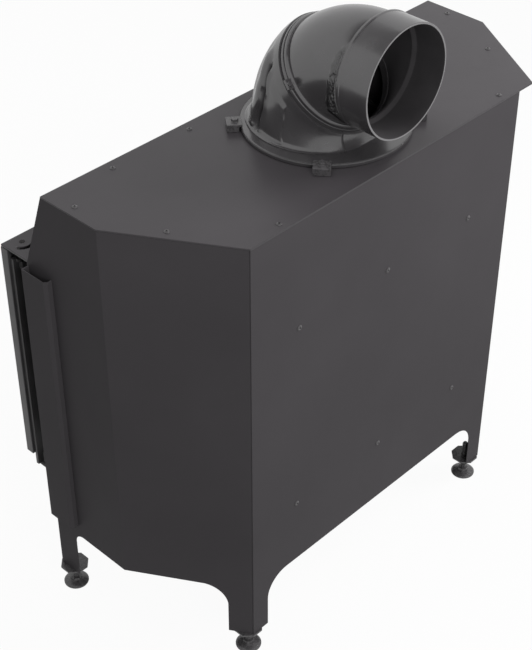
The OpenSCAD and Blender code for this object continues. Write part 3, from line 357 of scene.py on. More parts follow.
def evaluated(carrier):
    """Plain mesh of an object with its modifiers, which is then removed."""
    layer = bpy.context.evaluated_depsgraph_get()
    mesh = bpy.data.meshes.new_from_object(carrier.evaluated_get(layer))
    bpy.data.objects.remove(carrier)
    return mesh


def rounded_edges(node, width, angle):
    """The node's own shape, with edges sharper than the angle rounded to the width."""
    work = bmesh.new()
    work.from_mesh(frame["nodes"][node].data)
    bmesh.ops.remove_doubles(work, verts=work.verts, dist=2e-6)
    bmesh.ops.dissolve_limit(work, angle_limit=math.radians(0.5), verts=work.verts,
                             edges=work.edges)
    mesh = bpy.data.meshes.new(node + " copy")
    work.to_mesh(mesh)
    work.free()
    mesh.shade_smooth()
    mesh.materials.clear()
    mesh.materials.append(finish_of[node])
    carrier = in_scene(node + " copy", mesh)
    bevel = carrier.modifiers.new("rounded", "BEVEL")
    bevel.width = width * MILLIMETRE
    bevel.segments = 2
    bevel.limit_method = "ANGLE"
    bevel.angle_limit = math.radians(angle)
    bevel.use_clamp_overlap = False
    levelled = carrier.modifiers.new("level faces", "WEIGHTED_NORMAL")
    levelled.mode = "FACE_AREA"
    levelled.weight = 100
    levelled.keep_sharp = False
    return settle(node + "_rounded", evaluated(carrier), node, replaces=(node,))


# Width of each piece's rounded edges, in millimetres
ROUNDED = {
    "top_plate": 0.9, "back_panel": 0.5, "side_panel_left": 0.3, "side_panel_right": 0.3,
    "cover_strip_left": 0.3, "cover_strip_right": 0.3, "upper_front_panel": 0.5,
    "lower_front_panel": 0.6, "frame_top_plate": 0.8, "lower_hinge_plate": 0.8,
    "foot_plates": 0.7, "rear_spacers": 0.5, "elbow_base_flange": 1.2, "clamp_dogs": 0.9,
    "joint_ring_lower": 0.9, "joint_ring_upper": 0.8, "flue_spigot": 0.9, "hinge_leaf": 0.5,
    "hinge_pins": 0.6, "door_front": 1.2, "door_inner_frame": 0.8, "door_handle": 0.8,
    "ash_drawer_front": 0.9, "ash_tray": 0.4, "air_slide_left": 0.5, "air_slide_right": 0.5,
    "latch_keeper": 0.6, "latch_tongue": 0.6, "handle_spindle": 0.5, "grate": 1.2,
    "log_guard": 1.0, "hearth_bricks": 1.5, "side_linings": 1.5, "corner_linings": 1.5,
    "lining_back": 1.5, "air_inlet": 0.4, "flue_collar": 0.5, "hot_air_grille": 0.4,
}
# Panels with a shallow fold, whose line shows as a break in tone
FOLDED = ("side_panel_left", "side_panel_right", "upper_front_panel")
SHALLOW, SHARP = 20.0, 35.0
rounded = {node: rounded_edges(node, width, SHALLOW if node in FOLDED else SHARP)
           for node, width in ROUNDED.items()}

# The spigot's bore carries soot, its outside is enamelled, and its end is painted lighter,
# partly as rubbed paint and partly as a painted highlight
SPIGOT_Z = 1074.8
# In metres: a radius between the bore's and the outside's, and how deep the lighter end reaches
SPIGOT_WALL, RIM_WEAR_AND_HIGHLIGHT_DEPTH = 0.0965, 0.0002
spigot_mesh = rounded["flue_spigot"].data
spigot_middle = placed((0, 0, SPIGOT_Z)).z
spigot_end = max(vertex.co.y for vertex in spigot_mesh.vertices)
for name in ("sooted", "rubbed"):
    spigot_mesh.attributes.new(name, "FLOAT", "POINT")
sooted, rubbed = spigot_mesh.attributes["sooted"], spigot_mesh.attributes["rubbed"]
for index, vertex in enumerate(spigot_mesh.vertices):
    in_bore = math.hypot(vertex.co.x, vertex.co.z - spigot_middle) < SPIGOT_WALL
    # The end face takes the lighter rim colour: rubbed paint and a painted highlight
    at_end = vertex.co.y > spigot_end - RIM_WEAR_AND_HIGHLIGHT_DEPTH
    sooted.data[index].value = float(in_bore and not at_end)
    rubbed.data[index].value = float(at_end)


def facing_out(work):
    """Turns a closed mesh's faces outwards by the sign of its volume."""
    if work.calc_volume(signed=True) < 0:
        bmesh.ops.reverse_faces(work, faces=work.faces)


def ring_shell(name, outer_rings, inner_rings, marks=None, dulled=None):
    """Closed wall through rings up the outside and back down the sooted inside.

    Marks give how crinkled the outside's points are, and dulled how little they shine.
    """
    work = bmesh.new()
    crinkle_layer = work.verts.layers.float.new("crinkled")
    soot_layer = work.verts.layers.float.new("sooted")
    rings = outer_rings + inner_rings[::-1]
    count = len(rings[0])
    grid = []
    for k, ring in enumerate(rings):
        row = []
        for i, point in enumerate(ring):
            vertex = work.verts.new(placed(point))
            vertex[soot_layer] = float(k >= len(outer_rings))
            if marks and k < len(marks):
                vertex[crinkle_layer] = marks[k][i]
            if dulled and k < len(dulled):
                vertex[soot_layer] = dulled[k][i]
            row.append(vertex)
        grid.append(row)
    for k, row in enumerate(grid):
        beyond = grid[(k + 1) % len(grid)]
        for i in range(count):
            j = (i + 1) % count
            work.faces.new((row[i], row[j], beyond[j], beyond[i]))
    facing_out(work)
    mesh = bpy.data.meshes.new(name)
    work.to_mesh(mesh)
    work.free()
    mesh.shade_smooth()
    mesh.set_sharp_from_angle(angle=math.radians(38))
    return mesh


# Flue elbow, from the same guide lines as the drawing

HALF = math.sqrt(0.5)
JOINT = Vector((0, 196.5, 1042.0))
ALONG = Vector((0, HALF, HALF))
ACROSS = Vector((0, -HALF, HALF))
BEND_R = 112.0
BEND = JOINT + BEND_R * Vector((0, HALF, -HALF))
FLANGE_TOP = 941.8
JOINT_HALF = 9
LOWER_TOP_R, LOWER_FOOT_R, LOWER_BULGE = 110.5, 114, 12
FOOT_FRONT_Y, FOOT_BACK_Y = 38, 278
UPPER_INNER_R, UPPER_OUTER_R, UPPER_END_R = 100.5, 100.6, 94
LOWER_WALL, LOWER_LIP, UPPER_WALL = 5.0, 12.5, 4.0


def mix(a, b, t):
    return a + (b - a) * t


def smooth_step(value, start, end):
    t = min(1.0, max(0.0, (value - start) / (end - start)))
    return t * t * (3 - 2 * t)


def on_bend(angle, radius):
    turn = math.radians(angle)
    return BEND + (BEND_R + radius) * Vector((0, -math.sin(turn), math.cos(turn)))


def ring_between(outer, inner, columns, inset=0.0):
    """Ring whose outermost and innermost points lie on two guide points."""
    across = outer - inner
    tilt = math.atan2(-across.y, across.z)
    radius = across.length / 2 - inset
    middle = (outer + inner) / 2
    points = []
    for angle, raised in columns:
        turn = math.radians(angle)
        points.append(middle + (radius + raised) * Vector((
            math.cos(turn), -math.sin(tilt) * math.sin(turn), math.cos(tilt) * math.sin(turn))))
    return points


def lower_guides(s):
    """Guide points of the lower half: s runs from 0 at the joint to 9 at the foot."""
    inner_top = JOINT - JOINT_HALF * ALONG - LOWER_TOP_R * ACROSS
    inner_foot = Vector((0, FOOT_BACK_Y, FLANGE_TOP))
    if s <= 8:
        t = s / 8
        radius = mix(LOWER_TOP_R, LOWER_FOOT_R, t) + LOWER_BULGE * t * (1 - t)
        angle = mix(47, 90, t) if s >= 1 else mix(47.32, mix(47, 90, 0.125), s)
        return on_bend(angle, radius), mix(inner_top, inner_foot, s / 9)
    q = s - 8
    flare = q ** 1.7
    outer_8, inner_8 = on_bend(90, LOWER_FOOT_R), mix(inner_top, inner_foot, 8 / 9)
    outer = Vector((0, mix(outer_8.y, FOOT_FRONT_Y, flare), mix(outer_8.z, FLANGE_TOP, q)))
    return outer, mix(inner_8, inner_foot, q)


def followed(table, s):
    for (s0, a0), (s1, a1) in zip(table, table[1:]):
        if s <= s1:
            return mix(a0, a1, smooth_step(s, s0, s1))
    return table[-1][1]


# Angles round the ring at which the crease and the pad's edge run, by s
CREASE = [(0, 41), (1.6, 34.5), (3.65, 22.5), (5.45, 19), (7.75, 20.5), (9, 20)]
PAD_EDGE = [(0, 2), (0.8, -0.5), (2.2, -4.5), (4.9, -8.5), (7.35, -8.5), (9, -11)]
GROOVE = -60.8


def lower_columns(s):
    """Angles round a ring with how far each is raised: groove, pad edge, crease and rib."""
    c, p = followed(CREASE, s), followed(PAD_EDGE, s)
    fold = smooth_step(s, 0.9, 1.8) * (1 - smooth_step(s, 8.3, 8.9))
    pad = smooth_step(s, 1.5, 2.6) * (1 - smooth_step(s, 8.3, 8.9))
    cut = 1 - smooth_step(s, 8.75, 8.95)
    marks = [(-90, 0), (GROOVE - 1.0, 0), (GROOVE - 0.6, -2.4 * cut), (GROOVE + 0.6, -2.4 * cut),
             (GROOVE + 1.0, 0), (p - 0.7, 0), (p, 2.2 * pad), (p + 0.9, 2.7 * pad),
             (p + 2.0, 2.2 * pad), (c - 8, 1.4 * pad), (c - 5.4, 1.6 * pad + 2.0 * fold),
             (c - 3.4, 1.2 * pad), (c - 0.9, -4.4 * fold), (c + 0.3, -4.4 * fold),
             (c + 2.8, 1.6 * fold), (c + 5.0, 4.8 * fold), (c + 9, 6.0 * fold),
             (c + 13, 4.6 * fold), (c + 17.5, 1.0 * fold), (c + 21, -0.8 * fold), (90, 0)]
    steps = [7, 1, 1, 1, 13, 1, 1, 1, 7, 1, 1, 1, 1, 1, 1, 2, 2, 2, 2, 6]
    half = []
    for (a0, r0), (a1, r1), n in zip(marks, marks[1:], steps):
        half += [(mix(a0, a1, k / n), mix(r0, r1, k / n)) for k in range(n)]
    half.append(marks[-1])
    return half + [(180 - a, r) for a, r in reversed(half[1:-1])]


def stations(spans):
    """Values from several (start, end, count) spans."""
    values = [a + (b - a) * k / n for a, b, n in spans for k in range(n)]
    return values + [spans[-1][1]]


def foot_bead(s):
    return 2.4 * math.sin(math.pi * smooth_step(s, 8.72, 9.0)) ** 0.8 if 8.72 < s < 9 else 0.0


def skirt(s, angle):
    """How far the flanks spread towards the foot."""
    side = angle if angle <= 90 else 180 - angle
    reach = smooth_step(side, -88, -60) * (1 - smooth_step(side, 45, 85))
    return 9.0 * reach * max(0.0, (s - 1.5) / 7.5) ** 1.6


along_lower = stations([(0, 8, 44), (8, 8.7, 6), (8.7, 9, 8)])
outside = []
dulled = []
for s in along_lower:
    outer, inner = lower_guides(s)
    dulled.append([min(0.9, max(0.0, -r / 4.4)) for a, r in lower_columns(s)])
    swelled = [(a, r + foot_bead(s) + skirt(s, a)) for a, r in lower_columns(s)]
    outside.append(ring_between(outer, inner, swelled))
inside = []
for s in stations([(0, 9, 12)]):
    outer, inner = lower_guides(s)
    plain = [(a, 0.0) for a, r in lower_columns(s)]
    inside.append(ring_between(outer, inner, plain, LOWER_LIP if s == 0 else LOWER_WALL))
lower_mesh = ring_shell("elbow lower half", outside, inside, dulled=dulled)
settle("elbow_lower_half_shell", lower_mesh, "elbow_lower", replaces=("elbow_lower",))


def upper_guides(k):
    """Guide points of the upper half: k runs from 0 at the joint to 8 at the spigot."""
    t = k / 8
    inner_low = JOINT + JOINT_HALF * ALONG - UPPER_INNER_R * ACROSS
    inner_end = BEND + Vector((0, 0, BEND_R - UPPER_END_R))
    angle = mix(42, 0, t) if k >= 1 else mix(42.55, mix(42, 0, 0.125), k)
    return on_bend(angle, mix(UPPER_OUTER_R, UPPER_END_R, t)), mix(inner_low, inner_end, t)


# From which k the crinkles start, by the angle round the ring
CRINKLE_FROM = [(-75, 2.0), (-63, 1.0), (-41, 3.4), (-30, 3.2), (-22, 4.4), (-7, 6.0), (3, 6.4),
                (10, 6.9), (21, 7.0), (32, 7.2), (40, 7.6), (46, 8.0)]


def crinkled(k, angle):
    """How rough the upper half is: most beside the spigot, low on both flanks."""
    side = angle if angle <= 90 else 180 - angle
    edge = followed(CRINKLE_FROM, side)
    band = smooth_step(side, -80, -66) * (1 - smooth_step(side, 38, 48))
    return band * smooth_step(k, edge - 0.4, edge + 0.9)


AROUND = 144
along_upper = stations([(0, 8, 56)])
turns = [(-90 + 360 * i / AROUND, 0.0) for i in range(AROUND)]
outside = [ring_between(*upper_guides(k), turns) for k in along_upper]
inside = [ring_between(*upper_guides(k), turns, UPPER_WALL) for k in stations([(0, 8, 14)])]
marks = [[crinkled(k, a) for a, r in turns] for k in along_upper]
upper_mesh = ring_shell("elbow upper half", outside, inside, marks=marks)
settle("elbow_upper_half_shell", upper_mesh, "elbow_upper", replaces=("elbow_upper",))


# Geometry trees for what repeats or follows a path

def new_tree(name, sizes):
    """Tree with a geometry in and out, and one named input for each size."""
    tree = bpy.data.node_groups.new(name, "GeometryNodeTree")
    tree.interface.new_socket("Geometry", in_out="INPUT", socket_type="NodeSocketGeometry")
    tree.interface.new_socket("Geometry", in_out="OUTPUT", socket_type="NodeSocketGeometry")
    for label, kind, value in sizes:
        socket = tree.interface.new_socket(label, in_out="INPUT", socket_type=kind)
        if value is not None:
            socket.default_value = value
    return tree, tree.nodes.new("NodeGroupInput"), tree.nodes.new("NodeGroupOutput")


def step(tree, kind, inputs=None, **settings):
    """Adds a node with its settings, and links or sets its inputs."""
    node = tree.nodes.new(kind)
    for key, value in settings.items():
        setattr(node, key, value)
    for key, value in (inputs or {}).items():
        if isinstance(value, bpy.types.NodeSocket):
            tree.links.new(value, node.inputs[key])
        else:
            node.inputs[key].default_value = value
    return node


def finish_tree(tree, given, result, geometry):
    """Ends a tree: real geometry, smooth faces, the piece's finish."""
    real = step(tree, "GeometryNodeRealizeInstances", {"Geometry": geometry})
    smooth = step(tree, "GeometryNodeSetShadeSmooth", {"Geometry": real.outputs["Geometry"]})
    coated = step(tree, "GeometryNodeSetMaterial", {
        "Geometry": smooth.outputs["Geometry"], "Material": given.outputs["Finish"]})
    tree.links.new(coated.outputs["Geometry"], result.inputs["Geometry"])
    return tree


def parts_tree():
    """Sets one part on each point of the carrier, facing one way and turned by chance."""
    tree, given, result = new_tree("parts on points", [
        ("Part", "NodeSocketObject", None), ("Facing", "NodeSocketVector", (0, 0, 1)),
        ("Size", "NodeSocketFloat", 1.0), ("Seed", "NodeSocketInt", 5),
        ("Finish", "NodeSocketMaterial", None)])
    part = step(tree, "GeometryNodeObjectInfo", {"Object": given.outputs["Part"]})
    aimed = step(tree, "FunctionNodeAlignRotationToVector", {
        "Vector": given.outputs["Facing"]}, axis="Z")
    chance = step(tree, "FunctionNodeRandomValue", {
        "Min": 0.0, "Max": FULL_TURN, "Seed": given.outputs["Seed"]}, data_type="FLOAT")
    own = step(tree, "FunctionNodeAxisAngleToRotation", {
        "Axis": (0, 0, 1), "Angle": chance.outputs["Value"]})
    turned = step(tree, "FunctionNodeRotateRotation", {
        "Rotation": aimed.outputs["Rotation"], "Rotate By": own.outputs["Rotation"]},
        rotation_space="LOCAL")
    set_on = step(tree, "GeometryNodeInstanceOnPoints", {
        "Points": given.outputs["Geometry"], "Instance": part.outputs["Geometry"],
        "Rotation": turned.outputs["Rotation"], "Scale": given.outputs["Size"]})
    return finish_tree(tree, given, result, set_on.outputs["Instances"])


def weld_tree():
    """Lays overlapping weld drops along the carrier's line."""
    tree, given, result = new_tree("weld along a line", [
        ("Spacing", "NodeSocketFloat", 0.0022), ("Drop", "NodeSocketFloat", 0.003),
        ("Seed", "NodeSocketInt", 11), ("Finish", "NodeSocketMaterial", None)])
    line = step(tree, "GeometryNodeMeshToCurve", {"Mesh": given.outputs["Geometry"]})
    spaced = step(tree, "GeometryNodeResampleCurve", {
        "Curve": line.outputs["Curve"], "Length": given.outputs["Spacing"]}, mode="LENGTH")
    drop = step(tree, "GeometryNodeMeshUVSphere", {
        "Segments": 10, "Rings": 6, "Radius": given.outputs["Drop"]})
    tangent = step(tree, "GeometryNodeInputTangent")
    aimed = step(tree, "FunctionNodeAlignRotationToVector", {
        "Vector": tangent.outputs["Tangent"]}, axis="X")
    chance = step(tree, "FunctionNodeRandomValue", {
        0: (0.55, 0.8, 0.8), 1: (0.8, 1.1, 1.1), "Seed": given.outputs["Seed"]},
        data_type="FLOAT_VECTOR")
    set_on = step(tree, "GeometryNodeInstanceOnPoints", {
        "Points": spaced.outputs["Curve"], "Instance": drop.outputs["Mesh"],
        "Rotation": aimed.outputs["Rotation"], "Scale": chance.outputs[0]})
    return finish_tree(tree, given, result, set_on.outputs["Instances"])


def thread_tree():
    """Winds a screw thread round the Z axis."""
    tree, given, result = new_tree("screw thread", [
        ("Radius", "NodeSocketFloat", 0.0053), ("Length", "NodeSocketFloat", 0.066),
        ("Pitch", "NodeSocketFloat", 0.00175), ("Depth", "NodeSocketFloat", 0.0007),
        ("Base", "NodeSocketVector", (0, 0, 0)), ("Finish", "NodeSocketMaterial", None)])
    rounds = step(tree, "ShaderNodeMath", {
        0: given.outputs["Length"], 1: given.outputs["Pitch"]}, operation="DIVIDE")
    wind = step(tree, "GeometryNodeCurveSpiral", {
        "Resolution": 20, "Rotations": rounds.outputs[0], "Start Radius": given.outputs["Radius"],
        "End Radius": given.outputs["Radius"], "Height": given.outputs["Length"]})
    ridge = step(tree, "GeometryNodeCurvePrimitiveCircle", {
        "Resolution": 4, "Radius": given.outputs["Depth"]})
    swept = step(tree, "GeometryNodeCurveToMesh", {
        "Curve": wind.outputs["Curve"], "Profile Curve": ridge.outputs["Curve"],
        "Fill Caps": True})
    moved = step(tree, "GeometryNodeTransform", {
        "Geometry": swept.outputs["Mesh"], "Translation": given.outputs["Base"]})
    return finish_tree(tree, given, result, moved.outputs["Geometry"])


def rope_tree():
    """Braided rope along the carrier's closed line, pressed flat in depth."""
    tree, given, result = new_tree("braided rope", [
        ("Radius", "NodeSocketFloat", 0.008), ("Flat", "NodeSocketFloat", 0.35),
        ("Strands", "NodeSocketFloat", 5.0), ("Twist", "NodeSocketFloat", 0.02),
        ("Middle", "NodeSocketFloat", 0.0), ("Finish", "NodeSocketMaterial", None)])
    line = step(tree, "GeometryNodeMeshToCurve", {"Mesh": given.outputs["Geometry"]})
    spaced = step(tree, "GeometryNodeResampleCurve", {
        "Curve": line.outputs["Curve"], "Length": 0.003}, mode="LENGTH")
    run = step(tree, "GeometryNodeSplineParameter")
    held = step(tree, "GeometryNodeCaptureAttribute", {
        "Geometry": spaced.outputs["Curve"]}, domain="POINT")
    held.capture_items.new("FLOAT", "run")
    tree.links.new(run.outputs["Length"], held.inputs["run"])
    ring = step(tree, "GeometryNodeCurvePrimitiveCircle", {
        "Resolution": 20, "Radius": given.outputs["Radius"]})
    about = step(tree, "GeometryNodeSplineParameter")
    kept = step(tree, "GeometryNodeCaptureAttribute", {
        "Geometry": ring.outputs["Curve"]}, domain="POINT")
    kept.capture_items.new("FLOAT", "about")
    tree.links.new(about.outputs["Factor"], kept.inputs["about"])
    swept = step(tree, "GeometryNodeCurveToMesh", {
        "Curve": held.outputs["Geometry"], "Profile Curve": kept.outputs["Geometry"]})
    lead = step(tree, "ShaderNodeMath", {
        0: held.outputs["run"], 1: given.outputs["Twist"]}, operation="DIVIDE")
    lobes = step(tree, "ShaderNodeMath", {
        0: kept.outputs["about"], 1: given.outputs["Strands"]}, operation="MULTIPLY")
    phase = step(tree, "ShaderNodeMath", {
        0: lead.outputs[0], 1: lobes.outputs[0]}, operation="ADD")
    phase = step(tree, "ShaderNodeMath", {
        0: phase.outputs[0], 1: FULL_TURN}, operation="MULTIPLY")
    wave = step(tree, "ShaderNodeMath", {0: phase.outputs[0]}, operation="COSINE")
    depth = step(tree, "ShaderNodeMath", {
        0: given.outputs["Radius"], 1: -0.045}, operation="MULTIPLY")
    pulled = step(tree, "ShaderNodeMath", {
        0: wave.outputs[0], 1: 1.0}, operation="ADD")
    pulled = step(tree, "ShaderNodeMath", {
        0: pulled.outputs[0], 1: depth.outputs[0]}, operation="MULTIPLY")
    outward = step(tree, "GeometryNodeInputNormal")
    offset = step(tree, "ShaderNodeVectorMath", {
        0: outward.outputs["Normal"], "Scale": pulled.outputs[0]}, operation="SCALE")
    laid = step(tree, "GeometryNodeSetPosition", {
        "Geometry": swept.outputs["Mesh"], "Offset": offset.outputs[0]})
    place = step(tree, "GeometryNodeInputPosition")
    axes = step(tree, "ShaderNodeSeparateXYZ", {0: place.outputs[0]})
    away = step(tree, "ShaderNodeMath", {
        0: axes.outputs["Y"], 1: given.outputs["Middle"]}, operation="SUBTRACT")
    pressed = step(tree, "ShaderNodeMath", {
        0: away.outputs[0], 1: given.outputs["Flat"]}, operation="MULTIPLY")
    back = step(tree, "ShaderNodeMath", {
        0: pressed.outputs[0], 1: given.outputs["Middle"]}, operation="ADD")
    spot = step(tree, "ShaderNodeCombineXYZ", {
        "X": axes.outputs["X"], "Y": back.outputs[0], "Z": axes.outputs["Z"]})
    flat = step(tree, "GeometryNodeSetPosition", {
        "Geometry": laid.outputs["Geometry"], "Position": spot.outputs[0]})
    return finish_tree(tree, given, result, flat.outputs["Geometry"])


def made_by(tree, name, points, edges, values):
    """Runs a tree on a carrier of points and edges and returns the plain mesh."""
    mesh = bpy.data.meshes.new(name)
    mesh.from_pydata([tuple(p) for p in points], edges, [])
    carrier = in_scene(name, mesh)
    modifier = carrier.modifiers.new(tree.name, "NODES")
    modifier.node_group = tree
    for item in tree.interface.items_tree:
        if item.item_type == "SOCKET" and item.in_out == "INPUT" and item.name in values:
            modifier[item.identifier] = values[item.name]
    return evaluated(carrier)


def turned_part(name, profile, sides=24):
    """Lathe-turned part from rows of radius, height and whether the ring is a hexagon."""
    work = bmesh.new()
    rows = []
    for radius, height, hexed in profile:
        if radius == 0:
            rows.append([work.verts.new((0, 0, height))])
            continue
        row = []
        for i in range(sides):
            turn = 2 * math.pi * i / sides
            reach = radius
            if hexed:
                within = (turn + math.pi / 6) % (math.pi / 3) - math.pi / 6
                reach = radius * math.cos(math.pi / 6) / math.cos(within)
            row.append(work.verts.new((reach * math.cos(turn), reach * math.sin(turn), height)))
        rows.append(row)
    for low, high in zip(rows, rows[1:]):
        for i in range(sides):
            j = (i + 1) % sides
            if len(low) == 1:
                work.faces.new((low[0], high[j], high[i]))
            elif len(high) == 1:
                work.faces.new((low[i], low[j], high[0]))
            else:
                work.faces.new((low[i], low[j], high[j], high[i]))
    facing_out(work)
    mesh = bpy.data.meshes.new(name)
    work.to_mesh(mesh)
    work.free()
    return mesh


def screw_part(name, length):
    """Domed screw with a hexagon socket, standing on its head's seat."""
    dome = [(0.005 * math.cos(math.radians(a)), 0.0004 + 0.0021 * math.sin(math.radians(a)), False)
            for a in (0, 15, 30, 45, 60)]
    return turned_part(name, [
        (0, -length, False), (0.0025, -length, False), (0.0025, 0, False), (0.005, 0, False),
        *dome, (0.0019, 0.0024, True), (0.0018, 0.0009, True), (0, 0.0007, False)])


parts_on_points = parts_tree()


def set_screws(name, node, points, facing, length):
    """Screws in place of the node's own, standing on the given points."""
    part = in_scene("screw", screw_part("screw", length))
    mesh = made_by(parts_on_points, name, [placed(p) for p in points], [], {
        "Part": part, "Facing": facing, "Size": 1.0, "Seed": 7,
        "Finish": finishes[slot_of[node]]})
    bpy.data.objects.remove(part)
    mesh.set_sharp_from_angle(angle=math.radians(40))
    return settle(name, mesh, node, replaces=(node,))


# Top plate: half its width, depth of its straight sides, whole depth, height of its face
HALF_W, SIDE_D, DEPTH, TOP_Z = 490.0, 136.0, 346.0, 933.0


def on_cut(corner, along, inwards):
    """Point on the cut-off rear corner, in plan."""
    dx, dy = corner - HALF_W, DEPTH - SIDE_D
    reach = math.hypot(dx, dy)
    return (HALF_W + along * dx / reach - inwards * dy / reach,
            SIDE_D + along * dy / reach + inwards * dx / reach)


top_points = [(x, 20.6, TOP_Z) for x in (-353, -179, 179, 353)]
top_points += [(x, DEPTH - 15.7, TOP_Z) for x in (-282, 282)]
top_points += [(x, 64, TOP_Z) for x in (-471, 471)]
right_cut, left_cut = (on_cut(corner, along=109, inwards=18.4) for corner in (362, 323))
top_points += [(*right_cut, TOP_Z), (-left_cut[0], left_cut[1], TOP_Z)]
set_screws("top_plate_screws", "top_screws", top_points, facing=(0, 0, 1), length=0.012)
back_points = [(23.4 + 225 * i, DEPTH, z) for i in (-1, 0, 1) for z in (315, 719)]
set_screws("back_panel_screws", "back_screws", back_points, facing=(0, 1, 0), length=0.012)
door_points = [(side * 420, -111, 270 + z) for side in (-1, 1) for z in (30, 150, 325, 455)]
set_screws("door_frame_screws", "door_screws", door_points, facing=(0, 1, 0), length=0.018)

# Weld between the upper half and the spigot, low on both flanks
WELD_R, WELD_Y = 95.2, 275.6
weld_line = weld_tree()
for side, name in ((1, "right"), (-1, "left")):
    arc = [placed((side * WELD_R * math.cos(math.radians(a)), WELD_Y,
                   SPIGOT_Z + WELD_R * math.sin(math.radians(a)))) for a in range(-72, 38, 2)]
    mesh = made_by(weld_line, "weld", arc, [(i, i + 1) for i in range(len(arc) - 1)], {
        "Spacing": 0.0026, "Drop": 0.003, "Seed": 11 + side,
        "Finish": finishes["iron_elbow"]})
    settle("spigot_weld_" + name, mesh, "elbow_upper")

# Levelling feet with threads on their rods
wound = thread_tree()
FEET = {"foot_front_left": (-476, -37), "foot_front_right": (476, -37),
        "foot_rear_left": (-307, 323), "foot_rear_right": (353, 323)}
for node, (x, y) in FEET.items():
    foot = turned_part(node, [
        (0, 0, False), (0.0235, 0, False), (0.0245, 0.001, False), (0.0245, 0.0028, False),
        (0.0235, 0.0038, False), (0.0195, 0.0062, False), (0.0125, 0.0076, False),
        (0.0118, 0.0082, True), (0.0112, 0.0136, True), (0.0096, 0.0142, False),
        (0.0051, 0.0144, False), (0.0051, 0.0828, False), (0.0043, 0.0838, False),
        (0, 0.084, False)], sides=48)
    foot.transform(Matrix.Translation(placed((x, y, 0))))
    foot.shade_smooth()
    foot.set_sharp_from_angle(angle=math.radians(32))
    settle(node + "_turned", foot, node, replaces=(node,))
    mesh = made_by(wound, "thread", [(0, 0, 0)], [], {
        "Base": placed((x, y, 15.5)), "Length": 0.066, "Finish": finishes["black_steel"]})
    settle(node + "_thread", mesh, node)


CORNER_STEPS = 8


def rounded_rectangle(half_w, z0, z1, y, corner):
    """Closed upright line with round corners, from sizes in the drawing's millimetres."""
    side, low, high = half_w - corner, z0 + corner, z1 - corner
    points = []
    for cx, cz, start in ((side, high, 0), (-side, high, 90), (-side, low, 180), (side, low, 270)):
        for k in range(CORNER_STEPS + 1):
            turn = math.radians(start + 90 * k / CORNER_STEPS)
            points.append(placed((cx + corner * math.cos(turn), y, cz + corner * math.sin(turn))))
    return points, [(i, (i + 1) % len(points)) for i in range(len(points))]


braided = rope_tree()
for name, node, size, radius, flat, strands in (
        ("door_seal_rope", "door_seal", (400, 305, 730, -108.15, 14), 7.9, 0.35, 5.0),
        ("glass_seal_tape", "glass_gasket", (393.5, 348.5, 715.5, -123.0, 6), 5.6, 0.17, 4.0)):
    half_w, z0, z1, y, corner = size
    points, edges = rounded_rectangle(half_w, z0, z1, y, corner)
    mesh = made_by(braided, name, points, edges, {
        "Radius": radius * MILLIMETRE, "Flat": flat, "Strands": strands, "Twist": 0.022,
        "Middle": placed((0, y, 0)).y, "Finish": finishes["rope"]})
    settle(name, mesh, node, replaces=(node,))


# Room, light and camera

def white_when_seen(tree):
    """One for the camera, in gloss and through glass, and none for other light."""
    path = tree.nodes.new("ShaderNodeLightPath")
    return combined(tree, "MAXIMUM", path.outputs["Is Camera Ray"],
                    combined(tree, "MAXIMUM", path.outputs["Is Glossy Ray"],
                             path.outputs["Is Transmission Ray"]))


def white_light(tree, kind, strength):
    light = tree.nodes.new(kind)
    light.inputs["Color"].default_value = (1, 1, 1, 1)
    light.inputs["Strength"].default_value = strength
    return light


def blended(tree, share, first, second, end):
    """Ends a tree with a blend of two surfaces."""
    blend = tree.nodes.new("ShaderNodeMixShader")
    out = tree.nodes.new(end)
    tree.links.new(share, blend.inputs[0])
    tree.links.new(first.outputs[0], blend.inputs[1])
    tree.links.new(second.outputs[0], blend.inputs[2])
    tree.links.new(blend.outputs[0], out.inputs["Surface"])


world = bpy.data.worlds.new("studio")
bpy.context.scene.world = world
world.use_nodes = True
tree = world.node_tree
tree.nodes.clear()
blended(tree, white_when_seen(tree), white_light(tree, "ShaderNodeBackground", 0.34),
        white_light(tree, "ShaderNodeBackground", 1.0), "ShaderNodeOutputWorld")

floor_mesh = bpy.data.meshes.new("floor")
floor_mesh.from_pydata([(-9, -9, 0), (9, -9, 0), (9, 9, 0), (-9, 9, 0)], [], [(0, 1, 2, 3)])
floor = in_scene("floor", floor_mesh)
paving = bpy.data.materials.new("pale floor")
paving.use_nodes = True
tree = paving.node_tree
tree.nodes.clear()
ground = tree.nodes.new("ShaderNodeBsdfDiffuse")
ground.inputs["Color"].default_value = (0.42, 0.42, 0.42, 1)
blended(tree, combined(tree, "MULTIPLY", white_when_seen(tree), 0.95), ground,
        white_light(tree, "ShaderNodeEmission", 1.0), "ShaderNodeOutputMaterial")
floor_mesh.materials.append(paving)

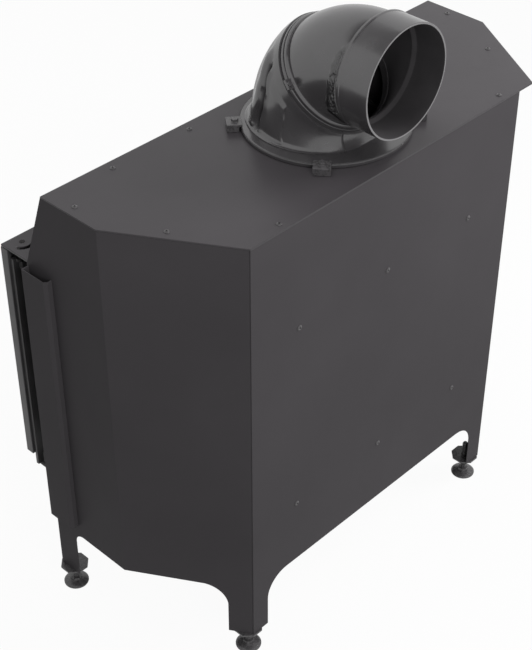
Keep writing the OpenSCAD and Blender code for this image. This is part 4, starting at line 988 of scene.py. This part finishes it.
# Dark card above, which the paint mirrors as a photographer's black flag
card_mesh = bpy.data.meshes.new("dark card")
card_mesh.from_pydata([(-1.3, -1.5, 3.5), (-1.3, 1.3, 3.5), (1.5, 1.3, 3.5), (1.5, -1.5, 3.5)],
                      [], [(0, 1, 2, 3)])
card = in_scene("dark card", card_mesh)
felt = bpy.data.materials.new("black felt")
felt.use_nodes = True
shader = felt.node_tree.nodes["Principled BSDF"]
shader.inputs["Base Color"].default_value = (0.1, 0.1, 0.1, 1)
shader.inputs["Specular IOR Level"].default_value = 0.0
card_mesh.materials.append(felt)
card.visible_camera = False
card.visible_diffuse = False
card.visible_shadow = False
card.visible_transmission = False


def softbox(name, place, target, size, power):
    """Round lamp that lights the piece but isn't mirrored in it."""
    lamp = bpy.data.lights.new(name, "AREA")
    lamp.shape = "DISK"
    lamp.size = size
    lamp.energy = power
    box = in_scene(name, lamp)
    box.location = place
    box.visible_glossy = False
    aim = Vector(target) - Vector(place)
    box.rotation_euler = aim.to_track_quat("-Z", "Y").to_euler()


softbox("rear softbox", (-1.5, 1.1, 1.75), (-0.4, 0.1, 0.8), 1.1, 64)
softbox("overhead softbox", (0.3, -0.2, 3.2), (0, 0, 0.6), 2.0, 44)
softbox("side softbox", (1.3, 2.4, 2.0), (0.3, 0, 0.8), 1.6, 65)
softbox("front softbox", (-0.6, -2.8, 1.9), (0, 0, 0.5), 1.8, 36)

# Camera as fitted to the photo's straight edges
azimuth, elevation, roll = math.radians(133.985), math.radians(37.896), math.radians(-0.056)
back = Vector((math.sin(azimuth) * math.cos(elevation), -math.cos(azimuth) * math.cos(elevation),
               math.sin(elevation)))
right = Vector((0, 0, 1)).cross(back).normalized()
up = back.cross(right)
right, up = (math.cos(roll) * right + math.sin(roll) * up,
             -math.sin(roll) * right + math.cos(roll) * up)
lens = bpy.data.cameras.new("photo camera")
lens.lens = 83.13
lens.sensor_width = 36.0
lens.sensor_fit = "AUTO"
lens.clip_end = 60.0
camera = in_scene("photo camera", lens)
turn = Matrix((right, up, back)).transposed().to_4x4()
camera.matrix_world = Matrix.Translation((1.6907, 1.5724, 2.243)) @ turn
bpy.context.scene.camera = camera
bpy.context.scene.view_settings.view_transform = "Standard"
